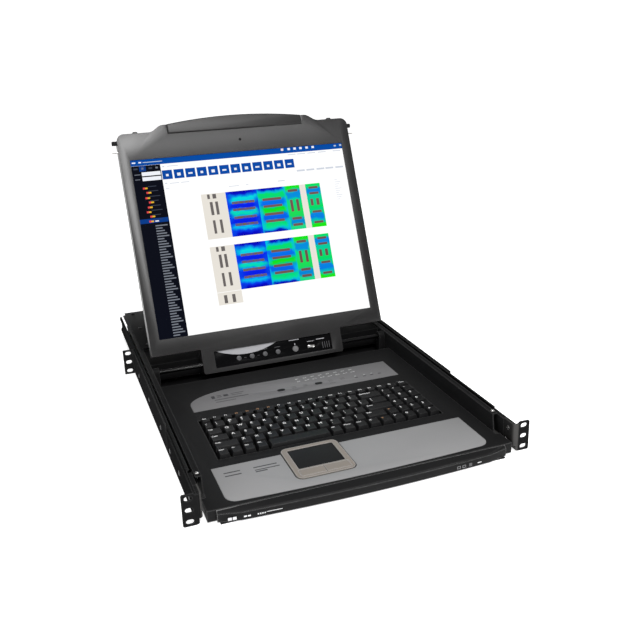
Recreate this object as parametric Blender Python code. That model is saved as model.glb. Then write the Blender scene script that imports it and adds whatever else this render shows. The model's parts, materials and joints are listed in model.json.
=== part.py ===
"""Rack console: a keyboard drawer with a fold-up screen and the switch electronics behind it.

Axes: +X to the right, +Y to the back, +Z up.  The origin is on the floor, midway between the
rack ears, in the plane of their front faces.  Sizes are in millimetres; the mesh makers turn
them into metres.  Every left and right pair comes from one function called with side -1 or +1.
"""
import math

import bmesh
import bpy
from mathutils import Matrix, Vector

SCALE = 0.001
GAP = 0.3

# Rack standard: ear width, one unit of height, and the three slots of an ear
RACK_HALF_WIDTH = 241.3
RACK_HEIGHT = 44.0
EAR_SLOT_X = 232.55
EAR_SLOT_PITCH = 15.875
EAR_SLOT_MIDDLE_Z = 22.0
EAR_SLOT_LENGTH = 10.0
EAR_SLOT_HEIGHT = 6.5
EAR_THICK = 2.0
BRACKET_INNER_X = 222.7
FRONT_ARM_HEIGHT = 38.0
FRONT_ARM_END_Y = 188.0
REAR_ARM_START_Y = 190.0
REAR_EAR_Y = 498.0

# Slides, all between the drawer's wall and the brackets
OUTER_RAIL_Y = (57.0, 680.0)
MIDDLE_RAIL_Y = (62.0, 640.0)
INNER_RAIL_Y = (62.0, 600.0)

# Drawer tray
WALL_IN_X = 206.8
WALL_OUT_X = 208.3
WALL_TOP_Z = 42.3
WALL_FRONT_Y = 38.5
FLANGE_X = 215.0
SHEET = 1.2
TRAY_END_Y = 697.2
STUD_X = 211.0
STUD_Y = 46.0

# Keyboard deck
DECK_TOP_Z = 17.0
DECK_THICK = 2.0
DECK_FRONT_Y = -3.0
DECK_REAR_Y = 380.0
SHOULDER_X = 212.4
DECK_SIDE_X = 206.5
SHOULDER_REAR_Y = 27.5
KEY_WELL_X = (-169.7, 169.7)
KEY_WELL_Y = (113.0, 238.5)
PORT_BUTTON_X = (-24.0, 39.5)
PORT_BUTTON_Y = 288.3
PORT_BUTTON_HALF = (6.2, 3.1)

# Keys: one unit of width, one row of depth, and the heights of plate, web and caps
KEY_UNIT = 19.0
ROW_DEPTH = 21.0
KEY_LEFT_X = -168.0
KEY_FRONT_Y = 114.5
KEY_PLATE_Z = (7.6, 9.2)
KEY_WEB_Z = (9.5, 10.6)
CAP_BASE_Z = 13.6
CAP_TOP_Z = 21.5
CAP_GAP = 1.0
CAP_TAPER = 2.0
STEM_RADIUS = 2.4
FUNCTION_ROW_DEPTH = 15.5
# Each row: its name, its number from the front, and its keys' widths in units.
# A negative width is a key that travels on its own.
NUMBER_PAD = (0.965,) * 3
KEY_ROWS = (
    ("bottom_key_row", 0, (0.96,) * 4 + (-4.79,) + (1.026,) * 6 + NUMBER_PAD),
    ("shift_key_row", 1, (-2.0,) + (1,) * 10 + (1.79, 1) + NUMBER_PAD),
    ("home_key_row", 2, (1.5,) + (1,) * 11 + (-2.29,) + NUMBER_PAD),
    ("letter_key_row", 3, (1.26,) + (1,) * 12 + (1.53,) + NUMBER_PAD),
    ("number_key_row", 4, (0.79,) + (1,) * 12 + (2.0,) + NUMBER_PAD),
    ("function_key_row", 5, (0.87,) * 17 + NUMBER_PAD),
)
SINGLE_KEYS = {0: "space_bar", 1: "left_shift_key", 2: "enter_key"}

# Touchpad
PAD_FRAME_X = (-87.0, -5.5)
PAD_FRAME_Y = (21.0, 103.0)
PAD_FRAME_RADIUS = 9.0
PAD_X = (-78.6, -13.0)
PAD_Y = (44.3, 96.2)
PAD_BUTTON_Y = (25.6, 41.9)
PAD_BUTTON_SPLIT_X = -46.0
PAD_POCKET_Z = 12.9

# Screen: the hinge axis, the lean, and heights (v) above and depths (d) behind the face
HINGE_Y = 404.0
HINGE_Z = 33.0
HINGE_BLOCK_X = (196.0, 206.4)
LEAN_DEG = 23.8
AXIS_V = -51.9
AXIS_D = 9.3
SCREEN_HALF_WIDTH = 188.16
SCREEN_HEIGHT = 301.06
FACE_HALF_WIDTH = 204.5
FACE_TOP_V = 346.0
FACE_BOTTOM_V = -26.0
FACE_CORNER = 12.0
TONGUE_HALF_WIDTH = 124.0
TONGUE_BOTTOM_V = -68.0
SHOULDER_TOP_V = 357.0
HANDLE_HALF_WIDTH = 119.0
HANDLE_BOTTOM_V = 341.0
SEAM_D = 13.5
SCREEN_THICK = 20.0
SHELL = 2.0
STRIP_X = (-103.0, 105.0)
STRIP_V = (-61.0, -33.0)
SHAFT_RADIUS = 3.5
LOCK_D = 7.5
LOCK_KNOB_V = 333.0
LOCK_PIN_V = 318.0
LOCK_KNOB_RADIUS = 3.7
LOCK_PIN_RADIUS = 1.7
MENU_BUTTON_X = (-62.0, -39.0, -16.0, 7.0)
BUTTON_V = -50.5
POWER_BUTTON_X = 38.5
USB_X = 67.0

# Electronics box at the back
BOX_FRONT_Y = 498.0
PANEL_Y = (697.5, 699.0)
PORT_COLUMNS = 8
PORT_PITCH = 33.0
PORT_FIRST_X = -172.0
PORT_ROW_Z = (13.5, 30.5)
INLET_X = 178.0
SWITCH_X = 146.0
REAR_MIDDLE_Z = 22.0
CONSOLE_WINDOW = ((88.0, 126.0), (5.2, 38.8))
SWITCH_HALF = (6.0, 10.0)
INLET_HALF = (13.8, 10.2)
SWITCH_PIVOT_Y = 694.0
SWITCH_DISH_DEG = 6.0
SWITCH_TILT_DEG = 7.0

BLACK = (0.022, 0.022, 0.023)
DECK_BLACK = (0.03, 0.03, 0.031)
KEY_BLACK = (0.015, 0.015, 0.016)
GREY = (0.30, 0.30, 0.31)
WRIST_GREY = (0.36, 0.36, 0.37)
BEIGE = (0.43, 0.38, 0.33)
STEEL = (0.55, 0.55, 0.56)
GLASS = (0.04, 0.05, 0.06)
BOARD = (0.02, 0.16, 0.08)


# ---------------------------------------------------------------- mesh makers

def clear_scene():
    """Remove every object that is there before the model is made."""
    for item in list(bpy.data.objects):
        bpy.data.objects.remove(item, do_unlink=True)


def solid(name, mesh_data):
    """Turn a bmesh in millimetres into a linked object in metres, faces outwards."""
    bmesh.ops.scale(mesh_data, vec=(SCALE, SCALE, SCALE), verts=mesh_data.verts)
    bmesh.ops.recalc_face_normals(mesh_data, faces=mesh_data.faces)
    mesh = bpy.data.meshes.new(name)
    mesh_data.to_mesh(mesh)
    mesh_data.free()
    item = bpy.data.objects.new(name, mesh)
    bpy.context.scene.collection.objects.link(item)
    return item


def at(axis, a, b, along):
    """A point from its two outline coordinates and its place along the axis."""
    if axis == "X":
        return Vector((along, a, b))
    if axis == "Y":
        return Vector((a, along, b))
    return Vector((a, b, along))


def add_loft(mesh_data, loops):
    """Skin closed loops with the same number of points, and cap both ends."""
    rings = [[mesh_data.verts.new(point) for point in loop] for loop in loops]
    count = len(rings[0])
    for low, high in zip(rings, rings[1:]):
        for i in range(count):
            j = (i + 1) % count
            mesh_data.faces.new((low[i], low[j], high[j], high[i]))
    mesh_data.faces.new(rings[0][::-1])
    mesh_data.faces.new(rings[-1])


def loft(name, loops):
    """One closed body skinned over the loops."""
    mesh_data = bmesh.new()
    add_loft(mesh_data, loops)
    return solid(name, mesh_data)


def prism(name, outline, start, end, axis):
    """An outline pushed along an axis: (Y, Z) for X, (X, Z) for Y, (X, Y) for Z."""
    return loft(name, [[at(axis, a, b, along) for a, b in outline] for along in (start, end)])


def rectangle(low_a, high_a, low_b, high_b):
    """The four corners of a rectangle."""
    return [(low_a, low_b), (high_a, low_b), (high_a, high_b), (low_a, high_b)]


def box(name, x_range, y_range, z_range):
    """A box between two values on each axis."""
    return prism(name, rectangle(*x_range, *y_range), *z_range, "Z")


def arc(centre_a, centre_b, radius, start_deg, end_deg, steps):
    """Points on a round stretch, both ends included."""
    turn = (end_deg - start_deg) / steps
    angles = [math.radians(start_deg + turn * i) for i in range(steps + 1)]
    return [(centre_a + radius * math.cos(t), centre_b + radius * math.sin(t)) for t in angles]


def round_rectangle(low_a, high_a, low_b, high_b, radius, steps=4):
    """A rectangle with four round corners."""
    points = arc(low_a + radius, low_b + radius, radius, 180, 270, steps)
    points += arc(high_a - radius, low_b + radius, radius, 270, 360, steps)
    points += arc(high_a - radius, high_b - radius, radius, 0, 90, steps)
    points += arc(low_a + radius, high_b - radius, radius, 90, 180, steps)
    return points


def circle(centre_a, centre_b, radius, sides=20):
    """A round outline."""
    return arc(centre_a, centre_b, radius, 0, 360, sides)[:-1]


def combine(target, tools, operation):
    """Join or cut the target with the tools, keep the result as its mesh, drop the tools."""
    for tool in tools:
        tool.hide_render = True
        tool.display_type = "WIRE"
        step = target.modifiers.new(operation.lower(), "BOOLEAN")
        step.operation = operation
        step.solver = "EXACT"
        step.object = tool
    graph = bpy.context.evaluated_depsgraph_get()
    result = bpy.data.meshes.new_from_object(target.evaluated_get(graph))
    target.modifiers.clear()
    target.data = result
    for tool in tools:
        bpy.data.objects.remove(tool, do_unlink=True)
    return target


def join(target, *tools):
    """Union of the target and the tools, as one body."""
    return combine(target, tools, "UNION")


def cut(target, *tools):
    """The target less the tools."""
    return combine(target, tools, "DIFFERENCE")


def mirrored(outline, side):
    """An outline with its first coordinate on the chosen side."""
    return [(side * a, b) for a, b in outline]


def span(side, low, high):
    """A range of X on the chosen side, low before high."""
    return (low, high) if side > 0 else (-high, -low)


def side_name(side, rest):
    """A left or right piece's name."""
    return ("right_" if side > 0 else "left_") + rest


def settle(item, point, parent, material):
    """Put the object's origin at a point in millimetres, and give it a parent and a finish."""
    place = Vector(point) * SCALE
    item.data.transform(Matrix.Translation(-place))
    item.location = place
    item.parent = parent
    item.data.materials.clear()
    item.data.materials.append(material)
    return item


def smooth(item, angle_deg=35.0):
    """Shade a round piece smooth, with its edges sharp."""
    item.data.shade_smooth()
    item.data.set_sharp_from_angle(angle=math.radians(angle_deg))
    return item


def finish(name, colour, roughness, metallic=0.0):
    """A Principled material."""
    made = bpy.data.materials.new(name)
    made.use_nodes = True
    shader = made.node_tree.nodes["Principled BSDF"]
    shader.inputs["Base Color"].default_value = (*colour, 1.0)
    shader.inputs["Roughness"].default_value = roughness
    shader.inputs["Metallic"].default_value = metallic
    return made


def empty(name, parent, point=(0.0, 0.0, 0.0), turn_x_deg=0.0):
    """An empty that carries a moving group."""
    item = bpy.data.objects.new(name, None)
    item.location = Vector(point) * SCALE
    item.rotation_euler.x = math.radians(turn_x_deg)
    item.parent = parent
    bpy.context.scene.collection.objects.link(item)
    return item


# ---------------------------------------------------------------- rack frame

def ear_slots(side, y_range):
    """Cutters for the three screw slots of a rack ear."""
    cutters = []
    for step in (-1, 0, 1):
        z = EAR_SLOT_MIDDLE_Z + step * EAR_SLOT_PITCH
        half = EAR_SLOT_LENGTH / 2
        outline = round_rectangle(
            side * EAR_SLOT_X - half, side * EAR_SLOT_X + half,
            z - EAR_SLOT_HEIGHT / 2, z + EAR_SLOT_HEIGHT / 2, EAR_SLOT_HEIGHT / 2 - 0.1, 3,
        )
        cutters.append(prism("slot", outline, y_range[0] - 2, y_range[1] + 2, "Y"))
    return cutters


def front_ear(side, parent, material):
    """Front bracket: rack ear, a bent leg beside the drawer, and an arm outside the slide."""
    leg_x = 215.9
    bend = 5.0
    inner_bend = bend - EAR_THICK
    leg_end_y = 24.0
    leg_z = (8.0, 41.5)
    plate = [(RACK_HALF_WIDTH - 1.5, 0.0), (RACK_HALF_WIDTH, 1.5)]
    plate += [(RACK_HALF_WIDTH, RACK_HEIGHT - 1.5), (RACK_HALF_WIDTH - 1.5, RACK_HEIGHT)]
    plate += [(226.0, RACK_HEIGHT), (223.5, leg_z[1]), (leg_x + bend, leg_z[1])]
    plate += arc(226.0, 8.0, 8.0, 180 + 50, 270, 4)
    ear = prism(side_name(side, "front_ear"), mirrored(plate, side), 0.0, EAR_THICK, "Y")
    turn_x = leg_x + bend
    leg = [(turn_x + 0.5, 0.0)] + arc(turn_x, bend, bend, 270, 180, 4)
    leg += [(leg_x, leg_end_y), (leg_x + EAR_THICK, leg_end_y)]
    leg += arc(turn_x, bend, inner_bend, 180, 270, 4) + [(turn_x + 0.5, EAR_THICK)]
    bent = prism("bent_leg", mirrored(leg, side), *leg_z, "Z")
    arm_x = span(side, BRACKET_INNER_X, BRACKET_INNER_X + EAR_THICK)
    arm = box("arm", arm_x, (EAR_THICK / 2, FRONT_ARM_END_Y), (0.0, FRONT_ARM_HEIGHT))
    join(ear, bent, arm)
    cut(ear, *ear_slots(side, (0.0, EAR_THICK)))
    return settle(ear, (side * EAR_SLOT_X, 0.0, EAR_SLOT_MIDDLE_Z), parent, material)


def rear_bracket(side, parent, material):
    """Rear bracket: an arm along the slide with a rack ear at its end, adjustable in depth."""
    arm_x = span(side, BRACKET_INNER_X, BRACKET_INNER_X + EAR_THICK)
    ear_x = span(side, BRACKET_INNER_X, RACK_HALF_WIDTH)
    ear_y = (REAR_EAR_Y, REAR_EAR_Y + EAR_THICK)
    bracket = box(side_name(side, "rear_bracket"), ear_x, ear_y, (0.0, RACK_HEIGHT))
    arm = box("arm", arm_x, (REAR_ARM_START_Y, REAR_EAR_Y + 1.0), (0.0, RACK_HEIGHT))
    join(bracket, arm)
    cut(bracket, *ear_slots(side, ear_y))
    return settle(bracket, (side * EAR_SLOT_X, REAR_EAR_Y, EAR_SLOT_MIDDLE_Z), parent, material)


def outer_rail(side, parent, material):
    """Fixed slide member: a folded channel whose two ball tracks bulge outwards."""
    profile = [
        (215.8, 14.0), (220.6, 14.0), (222.2, 15.6), (222.2, 20.0), (220.2, 23.0),
        (220.2, 35.0), (222.2, 38.0), (222.2, 42.4), (220.6, 44.0), (218.8, 44.0),
        (218.8, 42.4), (220.6, 41.6), (220.6, 38.6), (218.6, 35.6), (218.6, 22.4),
        (220.6, 19.4), (220.6, 15.6), (215.8, 15.6),
    ]
    rail = prism(side_name(side, "outer_rail"), mirrored(profile, side), *OUTER_RAIL_Y, "Y")
    return settle(rail, (side * 220.0, OUTER_RAIL_Y[0], 29.0), parent, material)


def middle_rail(side, parent, material):
    """Travelling slide member."""
    profile = [
        (212.2, 17.0), (215.2, 17.0), (215.2, 19.5), (214.4, 20.3), (214.4, 34.7),
        (215.2, 35.5), (215.2, 38.0), (212.2, 38.0), (212.2, 35.5), (213.0, 34.7),
        (213.0, 20.3), (212.2, 19.5),
    ]
    rail = prism(side_name(side, "middle_rail"), mirrored(profile, side), *MIDDLE_RAIL_Y, "Y")
    return settle(rail, (side * 213.7, MIDDLE_RAIL_Y[0], 27.5), parent, material)


def inner_rail(side, parent, material):
    """Slide member fixed to the drawer's wall."""
    profile = [
        (208.6, 19.0), (211.9, 19.0), (211.9, 20.4), (210.0, 20.4), (210.0, 34.6),
        (211.9, 34.6), (211.9, 36.0), (208.6, 36.0),
    ]
    rail = prism(side_name(side, "inner_rail"), mirrored(profile, side), *INNER_RAIL_Y, "Y")
    return settle(rail, (side * 210.0, INNER_RAIL_Y[0], 27.5), parent, material)


# ---------------------------------------------------------------- drawer

def drawer_tray(parent, material):
    """Sheet tray: floor, two side walls, and a flange along the top of each wall."""
    floor_front_y = -11.0
    tongue_x = 198.0
    outline = [
        (-tongue_x, floor_front_y), (tongue_x, floor_front_y), (tongue_x, 0.0),
        (WALL_OUT_X, 0.0), (WALL_OUT_X, TRAY_END_Y), (-WALL_OUT_X, TRAY_END_Y),
        (-WALL_OUT_X, 0.0), (-tongue_x, 0.0),
    ]
    tray = prism("drawer_tray", outline, 0.0, SHEET, "Z")
    shoulder_y = SHOULDER_REAR_Y + 1.0
    side_view = [
        (shoulder_y, SHEET / 2), (TRAY_END_Y, SHEET / 2), (TRAY_END_Y, WALL_TOP_Z),
        (WALL_FRONT_Y, WALL_TOP_Z), (WALL_FRONT_Y - 4.0, DECK_TOP_Z), (shoulder_y, DECK_TOP_Z),
    ]
    parts = []
    for side in (-1, 1):
        parts.append(prism("wall", side_view, *span(side, WALL_IN_X, WALL_OUT_X), "X"))
        flange_x = span(side, (WALL_IN_X + WALL_OUT_X) / 2, FLANGE_X)
        flange_y = (WALL_FRONT_Y + 0.5, TRAY_END_Y - 7.0)
        parts.append(box("flange", flange_x, flange_y, (WALL_TOP_Z - SHEET, WALL_TOP_Z)))
    join(tray, *parts)
    holes = [prism("hole", circle(side * STUD_X, STUD_Y, 1.4, 12), 38.0, 46.0, "Z")
             for side in (-1, 1)]
    cut(tray, *holes)
    return settle(tray, (0.0, 0.0, 0.0), parent, material)


def flange_stud(side, parent, material):
    """Stud with a domed head at the front end of the flange, over which the screen closes."""
    rings = [(1.1, 36.0), (1.1, 42.6), (2.6, 42.6), (2.6, 43.2), (2.0, 44.1), (0.9, 44.6)]
    loops = [[at("Z", a, b, z) for a, b in circle(side * STUD_X, STUD_Y, r, 12)]
             for r, z in rings]
    stud = smooth(loft(side_name(side, "flange_stud"), loops))
    return settle(stud, (side * STUD_X, STUD_Y, WALL_TOP_Z), parent, material)


def deck_outline(inset):
    """Plan of the deck: wide shoulders at the front, narrower between the walls."""
    wide = SHOULDER_X - inset
    narrow = DECK_SIDE_X - inset
    front = DECK_FRONT_Y + inset
    step_y = SHOULDER_REAR_Y - inset
    rear = DECK_REAR_Y - inset
    return [(-wide, front), (wide, front), (wide, step_y), (narrow, step_y),
            (narrow, rear), (-narrow, rear), (-narrow, step_y), (-wide, step_y)]


def upper_panel_outline(inset):
    """Control panel plate: a quarter ellipse sweeps down its rear left corner."""
    left, right, front, rear = -169.0, 171.0, 267.0, 330.5
    bend_x = -80.0
    shoulder_y = 291.0
    points = [(left + inset, front + inset), (right - inset, front + inset),
              (right - inset, rear - 3.0 - inset)]
    steps = 8
    for i in range(steps + 1):
        angle = math.radians(90 + 90 * i / steps)
        x = bend_x + (bend_x - left - inset) * math.cos(angle)
        points.append((x, shoulder_y + (rear - shoulder_y - inset) * math.sin(angle)))
    return points


def wrist_panel_outline(inset):
    """Palm rest plate: bowed front edge, round front corners, a notch round the touchpad."""
    rear, corner, bow = 92.0, 15.0, 4.5
    left, right, front = -184.5, 183.5, 5.0
    notch = (PAD_FRAME_X[0] - 1.5, PAD_FRAME_X[1] + 1.5)
    notch_front = PAD_FRAME_Y[0] - 1.5
    bend = PAD_FRAME_RADIUS + 1.5
    points = arc(left + corner, front + corner, corner - inset, 180, 262, 5)
    for i in range(1, 8):
        across = i / 8
        x = left + corner + (right - left - 2 * corner) * across
        points.append((x, front + inset - bow * 4 * across * (1 - across)))
    points += arc(right - corner, front + corner, corner - inset, 278, 360, 5)
    points += [(right - inset, rear - inset), (notch[1] + inset, rear - inset)]
    centre_y = notch_front + bend
    points += arc(notch[1] - bend, centre_y, bend + inset, 360, 270, 4)
    points += arc(notch[0] + bend, centre_y, bend + inset, 270, 180, 4)
    points += [(notch[0] - inset, rear - inset), (left + inset, rear - inset)]
    return points


def keyboard_deck(parent, material):
    """Moulded deck: a shell open below, with the key well, panel beds and button holes."""
    deck = prism("keyboard_deck", deck_outline(0.0), 1.5, DECK_TOP_Z, "Z")
    hollow = prism("hollow", deck_outline(SHELL), 0.5, DECK_TOP_Z - DECK_THICK, "Z")
    well = box("well", KEY_WELL_X, KEY_WELL_Y, (0.0, 20.0))
    frame_x = (PAD_FRAME_X[0] - GAP, PAD_FRAME_X[1] + GAP)
    frame_y = (PAD_FRAME_Y[0] - GAP, PAD_FRAME_Y[1] + GAP)
    pad = prism("pad_hole", round_rectangle(*frame_x, *frame_y, PAD_FRAME_RADIUS + GAP, 5),
                0.0, 20.0, "Z")
    bed_z = (DECK_TOP_Z - 0.9, DECK_TOP_Z + 1.0)
    upper = prism("upper_bed", upper_panel_outline(-GAP), *bed_z, "Z")
    wrist = prism("wrist_bed", wrist_panel_outline(-GAP), *bed_z, "Z")
    cut(deck, hollow, well, pad, upper, wrist, *port_button_holes())
    return settle(deck, (0.0, 0.0, DECK_TOP_Z), parent, material)


def port_button_outline(x, grow):
    """Rounded oblong outline of a port button."""
    half_x, half_y = PORT_BUTTON_HALF
    return round_rectangle(x - half_x - grow, x + half_x + grow, PORT_BUTTON_Y - half_y - grow,
                           PORT_BUTTON_Y + half_y + grow, half_y - 0.1 + grow, 3)


def port_button_holes():
    """Cutters through the panel and deck for the two port buttons."""
    return [prism("hole", port_button_outline(x, GAP), 10.0, 20.0, "Z") for x in PORT_BUTTON_X]


def port_button(name, x, parent, material):
    """Port step button with a flange that holds it under the deck."""
    button = prism(name, port_button_outline(x, 0.0), 14.0, DECK_TOP_Z + 1.2, "Z")
    half_x, half_y = PORT_BUTTON_HALF
    flange = box("flange", (x - half_x - 2, x + half_x + 2),
                 (PORT_BUTTON_Y - half_y - 2, PORT_BUTTON_Y + half_y + 2), (13.4, 14.6))
    join(button, flange)
    return settle(button, (x, PORT_BUTTON_Y, DECK_TOP_Z), parent, material)


def panel_plate(name, outline, holes, parent, material):
    """Thin silver plate lying in its bed in the deck."""
    plate = prism(name, outline, DECK_TOP_Z - 0.6, DECK_TOP_Z + 0.3, "Z")
    if holes:
        cut(plate, *holes)
    return settle(plate, (0.0, outline[0][1], DECK_TOP_Z), parent, material)


def front_handle(parent, material):
    """Pull lip across the front: bowed in plan, sloping up to the deck."""
    half, back = 201.0, DECK_FRONT_Y - GAP
    end_front, bow = -12.5, 7.5
    low, edge, top = SHEET + GAP, 12.6, 16.4
    chamfer = 5.0
    loops = []
    stations = 14
    for i in range(stations + 1):
        x = -half + 2 * half * i / stations
        front = end_front - bow * (1 - (x / half) ** 2)
        if i in (0, stations):
            front += chamfer
        section = [(back, low), (front, low), (front, edge), (front + 1.6, edge + 1.4),
                   (back, top)]
        loops.append([at("X", y, z, x) for y, z in section])
    handle = loft("front_handle", loops)
    return settle(handle, (0.0, back, low), parent, material)


# ---------------------------------------------------------------- keys

def row_span(row):
    """Front and rear edge of a key row."""
    if row == len(KEY_ROWS) - 1:
        front = KEY_FRONT_Y + ROW_DEPTH * (len(KEY_ROWS) - 1) + 1.0
        return front, front + FUNCTION_ROW_DEPTH
    front = KEY_FRONT_Y + ROW_DEPTH * row
    return front, front + ROW_DEPTH


def key_places(row, widths):
    """Left and right edge of each key of a row, with its own flag for a separate key."""
    left = KEY_LEFT_X
    for width in widths:
        right = left + abs(width) * KEY_UNIT
        yield left, right, width < 0
        left = right


def cap_loops(left, right, front, rear, base_z):
    """Tapered keycap: a wide foot and a smaller top."""
    def ring(inset, z):
        outline = rectangle(left + inset, right - inset, front + inset, rear - inset)
        return [at("Z", a, b, z) for a, b in outline]
    return [ring(CAP_GAP, base_z), ring(CAP_GAP, base_z + 2.0),
            ring(CAP_GAP + CAP_TAPER, CAP_TOP_Z)]


def key_row(name, row, widths, parent, material):
    """The fixed caps of one row, standing on the web that joins them."""
    front, rear = row_span(row)
    end_x = KEY_LEFT_X + sum(abs(w) for w in widths) * KEY_UNIT
    web_y = (front + 0.2, rear - 0.2)
    web = box(name, (KEY_LEFT_X + 0.5, end_x - 0.5), web_y, KEY_WEB_Z)
    caps = bmesh.new()
    holes = []
    for left, right, single in key_places(row, widths):
        if single:
            middle = ((left + right) / 2, (front + rear) / 2)
            holes.append(prism("hole", circle(*middle, STEM_RADIUS + 0.5, 12), 5.0, 15.0, "Z"))
        else:
            add_loft(caps, cap_loops(left, right, front, rear, KEY_WEB_Z[1] - 0.4))
    join(web, solid("caps", caps))
    if holes:
        cut(web, *holes)
    return settle(web, (KEY_LEFT_X, front, KEY_WEB_Z[0]), parent, material)


def single_key(row, widths, parent, material):
    """A key that travels on its own: cap and stem."""
    front, rear = row_span(row)
    for left, right, single in key_places(row, widths):
        if single:
            key = loft(SINGLE_KEYS[row], cap_loops(left, right, front, rear, CAP_BASE_Z))
            middle = ((left + right) / 2, (front + rear) / 2)
            stem = prism("stem", circle(*middle, STEM_RADIUS, 12), 8.0, CAP_BASE_Z + 1.0, "Z")
            join(key, stem)
            return settle(key, (*middle, CAP_BASE_Z), parent, material)
    return None


def key_plate(parent, material):
    """Steel plate under the keys, on six posts, with holes for the stems."""
    plate_x = (KEY_WELL_X[0] - 1.0, KEY_WELL_X[1] + 1.0)
    plate_y = (KEY_WELL_Y[0] - 1.0, KEY_WELL_Y[1] + 1.0)
    plate = box("key_plate", plate_x, plate_y, KEY_PLATE_Z)
    posts = []
    for x in (-150.0, 0.0, 150.0):
        for y in (130.0, 225.0):
            posts.append(prism("post", circle(x, y, 3.0, 8), 1.5, KEY_PLATE_Z[0] + 0.4, "Z"))
    join(plate, *posts)
    holes = []
    for _name, row, widths in KEY_ROWS:
        front, rear = row_span(row)
        for left, right, single in key_places(row, widths):
            if single:
                spot = circle((left + right) / 2, (front + rear) / 2, STEM_RADIUS + 0.5, 12)
                holes.append(prism("hole", spot, 5.0, 12.0, "Z"))
    cut(plate, *holes)
    return settle(plate, (0.0, plate_y[0], KEY_PLATE_Z[0]), parent, material)


# ---------------------------------------------------------------- touchpad

def touchpad_frame(parent, material):
    """Touchpad surround: a shallow tray with a pocket for the pad and one for the buttons."""
    outline = round_rectangle(*PAD_FRAME_X, *PAD_FRAME_Y, PAD_FRAME_RADIUS, 5)
    frame = prism("touchpad_frame", outline, 11.6, DECK_TOP_Z + 1.4, "Z")
    pocket_z = (PAD_POCKET_Z, 20.0)
    pad = prism("pad_pocket", round_rectangle(*PAD_X, *PAD_Y, 2.0), *pocket_z, "Z")
    button_x = (PAD_X[0] - 2.0, PAD_X[1] + 2.0)
    buttons = box("button_pocket", button_x, PAD_BUTTON_Y, pocket_z)
    cut(frame, pad, buttons)
    return settle(frame, (PAD_FRAME_X[0], PAD_FRAME_Y[0], DECK_TOP_Z), parent, material)


def touchpad(parent, material):
    """The pad itself."""
    outline = round_rectangle(PAD_X[0] + GAP, PAD_X[1] - GAP, PAD_Y[0] + GAP, PAD_Y[1] - GAP, 1.8)
    pad = prism("touchpad", outline, PAD_POCKET_Z + GAP, DECK_TOP_Z + 0.6, "Z")
    return settle(pad, (PAD_X[0], PAD_Y[0], DECK_TOP_Z), parent, material)


def pad_button(side, parent, material):
    """Left or right touchpad button."""
    split = PAD_BUTTON_SPLIT_X
    x_range = (split + GAP, PAD_X[1] + 1.7) if side > 0 else (PAD_X[0] - 1.7, split - GAP)
    y_range = (PAD_BUTTON_Y[0] + GAP, PAD_BUTTON_Y[1] - GAP)
    outline = round_rectangle(*x_range, *y_range, 1.0, 2)
    button = prism(side_name(side, "pad_button"), outline, 14.2, DECK_TOP_Z + 1.7, "Z")
    return settle(button, (sum(x_range) / 2, y_range[0], DECK_TOP_Z), parent, material)


# ---------------------------------------------------------------- hinge and rear box

def hinge_bracket(side, parent, material):
    """Upright on the tray floor that holds the end of the hinge shaft."""
    half = 8.0
    outline = [(HINGE_Y + half, 1.5), (HINGE_Y + half, HINGE_Z)]
    outline += arc(HINGE_Y, HINGE_Z, half, 0, 180, 10)[1:-1]
    outline += [(HINGE_Y - half, HINGE_Z), (HINGE_Y - half, 1.5)]
    name = side_name(side, "hinge_bracket")
    bracket = prism(name, outline, *span(side, *HINGE_BLOCK_X), "X")
    bore = circle(HINGE_Y, HINGE_Z, SHAFT_RADIUS + 0.1, 24)
    cut(bracket, prism("bore", bore, side * 190.0, side * 203.0, "X"))
    return settle(bracket, (side * HINGE_BLOCK_X[0], HINGE_Y, HINGE_Z), parent, material)


def hinge_cover(parent, material):
    """Cover over the cable space between the screen's foot and the electronics box."""
    half = WALL_IN_X - 0.5
    profile = [(425.0, 10.0), (426.2, 10.0), (426.2, 37.8), (BOX_FRONT_Y - GAP, 37.8),
               (BOX_FRONT_Y - GAP, 39.0), (425.0, 39.0)]
    cover = prism("hinge_cover", profile, -half, half, "X")
    return settle(cover, (0.0, 425.0, 39.0), parent, material)


def rear_cover(parent, material):
    """Lid of the electronics box, with a lip turned down in front."""
    half = 211.0
    top_z = (42.6, 43.8)
    cover = box("rear_cover", (-half, half), (BOX_FRONT_Y, PANEL_Y[1]), top_z)
    lip = box("lip", (-206.3, 206.3), (BOX_FRONT_Y, BOX_FRONT_Y + SHEET), (39.3, 43.0))
    join(cover, lip)
    return settle(cover, (0.0, BOX_FRONT_Y, top_z[0]), parent, material)


def port_window(grow):
    """X and Z ranges of the opening for the two rows of computer ports."""
    half_x, half_z = PORT_PITCH / 2, 8.3
    end_x = PORT_FIRST_X + PORT_PITCH * (PORT_COLUMNS - 1)
    return ((PORT_FIRST_X - half_x - grow, end_x + half_x + grow),
            (PORT_ROW_Z[0] - half_z - grow, PORT_ROW_Z[1] + half_z + grow))


def rear_panel(parent, material):
    """Rear wall of the box, with openings for the ports, switch and power inlet."""
    panel = box("rear_panel", (-206.5, 206.5), PANEL_Y, (1.5, WALL_TOP_Z))
    y_range = (PANEL_Y[0] - 3, PANEL_Y[1] + 3)
    windows = [port_window(0.0), CONSOLE_WINDOW]
    for x, half in ((SWITCH_X, SWITCH_HALF), (INLET_X, INLET_HALF)):
        z_range = (REAR_MIDDLE_Z - half[1], REAR_MIDDLE_Z + half[1])
        windows.append(((x - half[0], x + half[0]), z_range))
    cut(panel, *[box("window", x_range, y_range, z_range) for x_range, z_range in windows])
    return settle(panel, (0.0, PANEL_Y[0], 1.5), parent, material)


def connector_outline(x, z, half_width, half_height):
    """Six-sided outline of a connector shell, wider above than below."""
    taper = 1.6
    return [(x - half_width + taper, z - half_height), (x + half_width - taper, z - half_height),
            (x + half_width, z + half_height - 1.5), (x + half_width - 1.2, z + half_height),
            (x - half_width + 1.2, z + half_height), (x - half_width, z + half_height - 1.5)]


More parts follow.
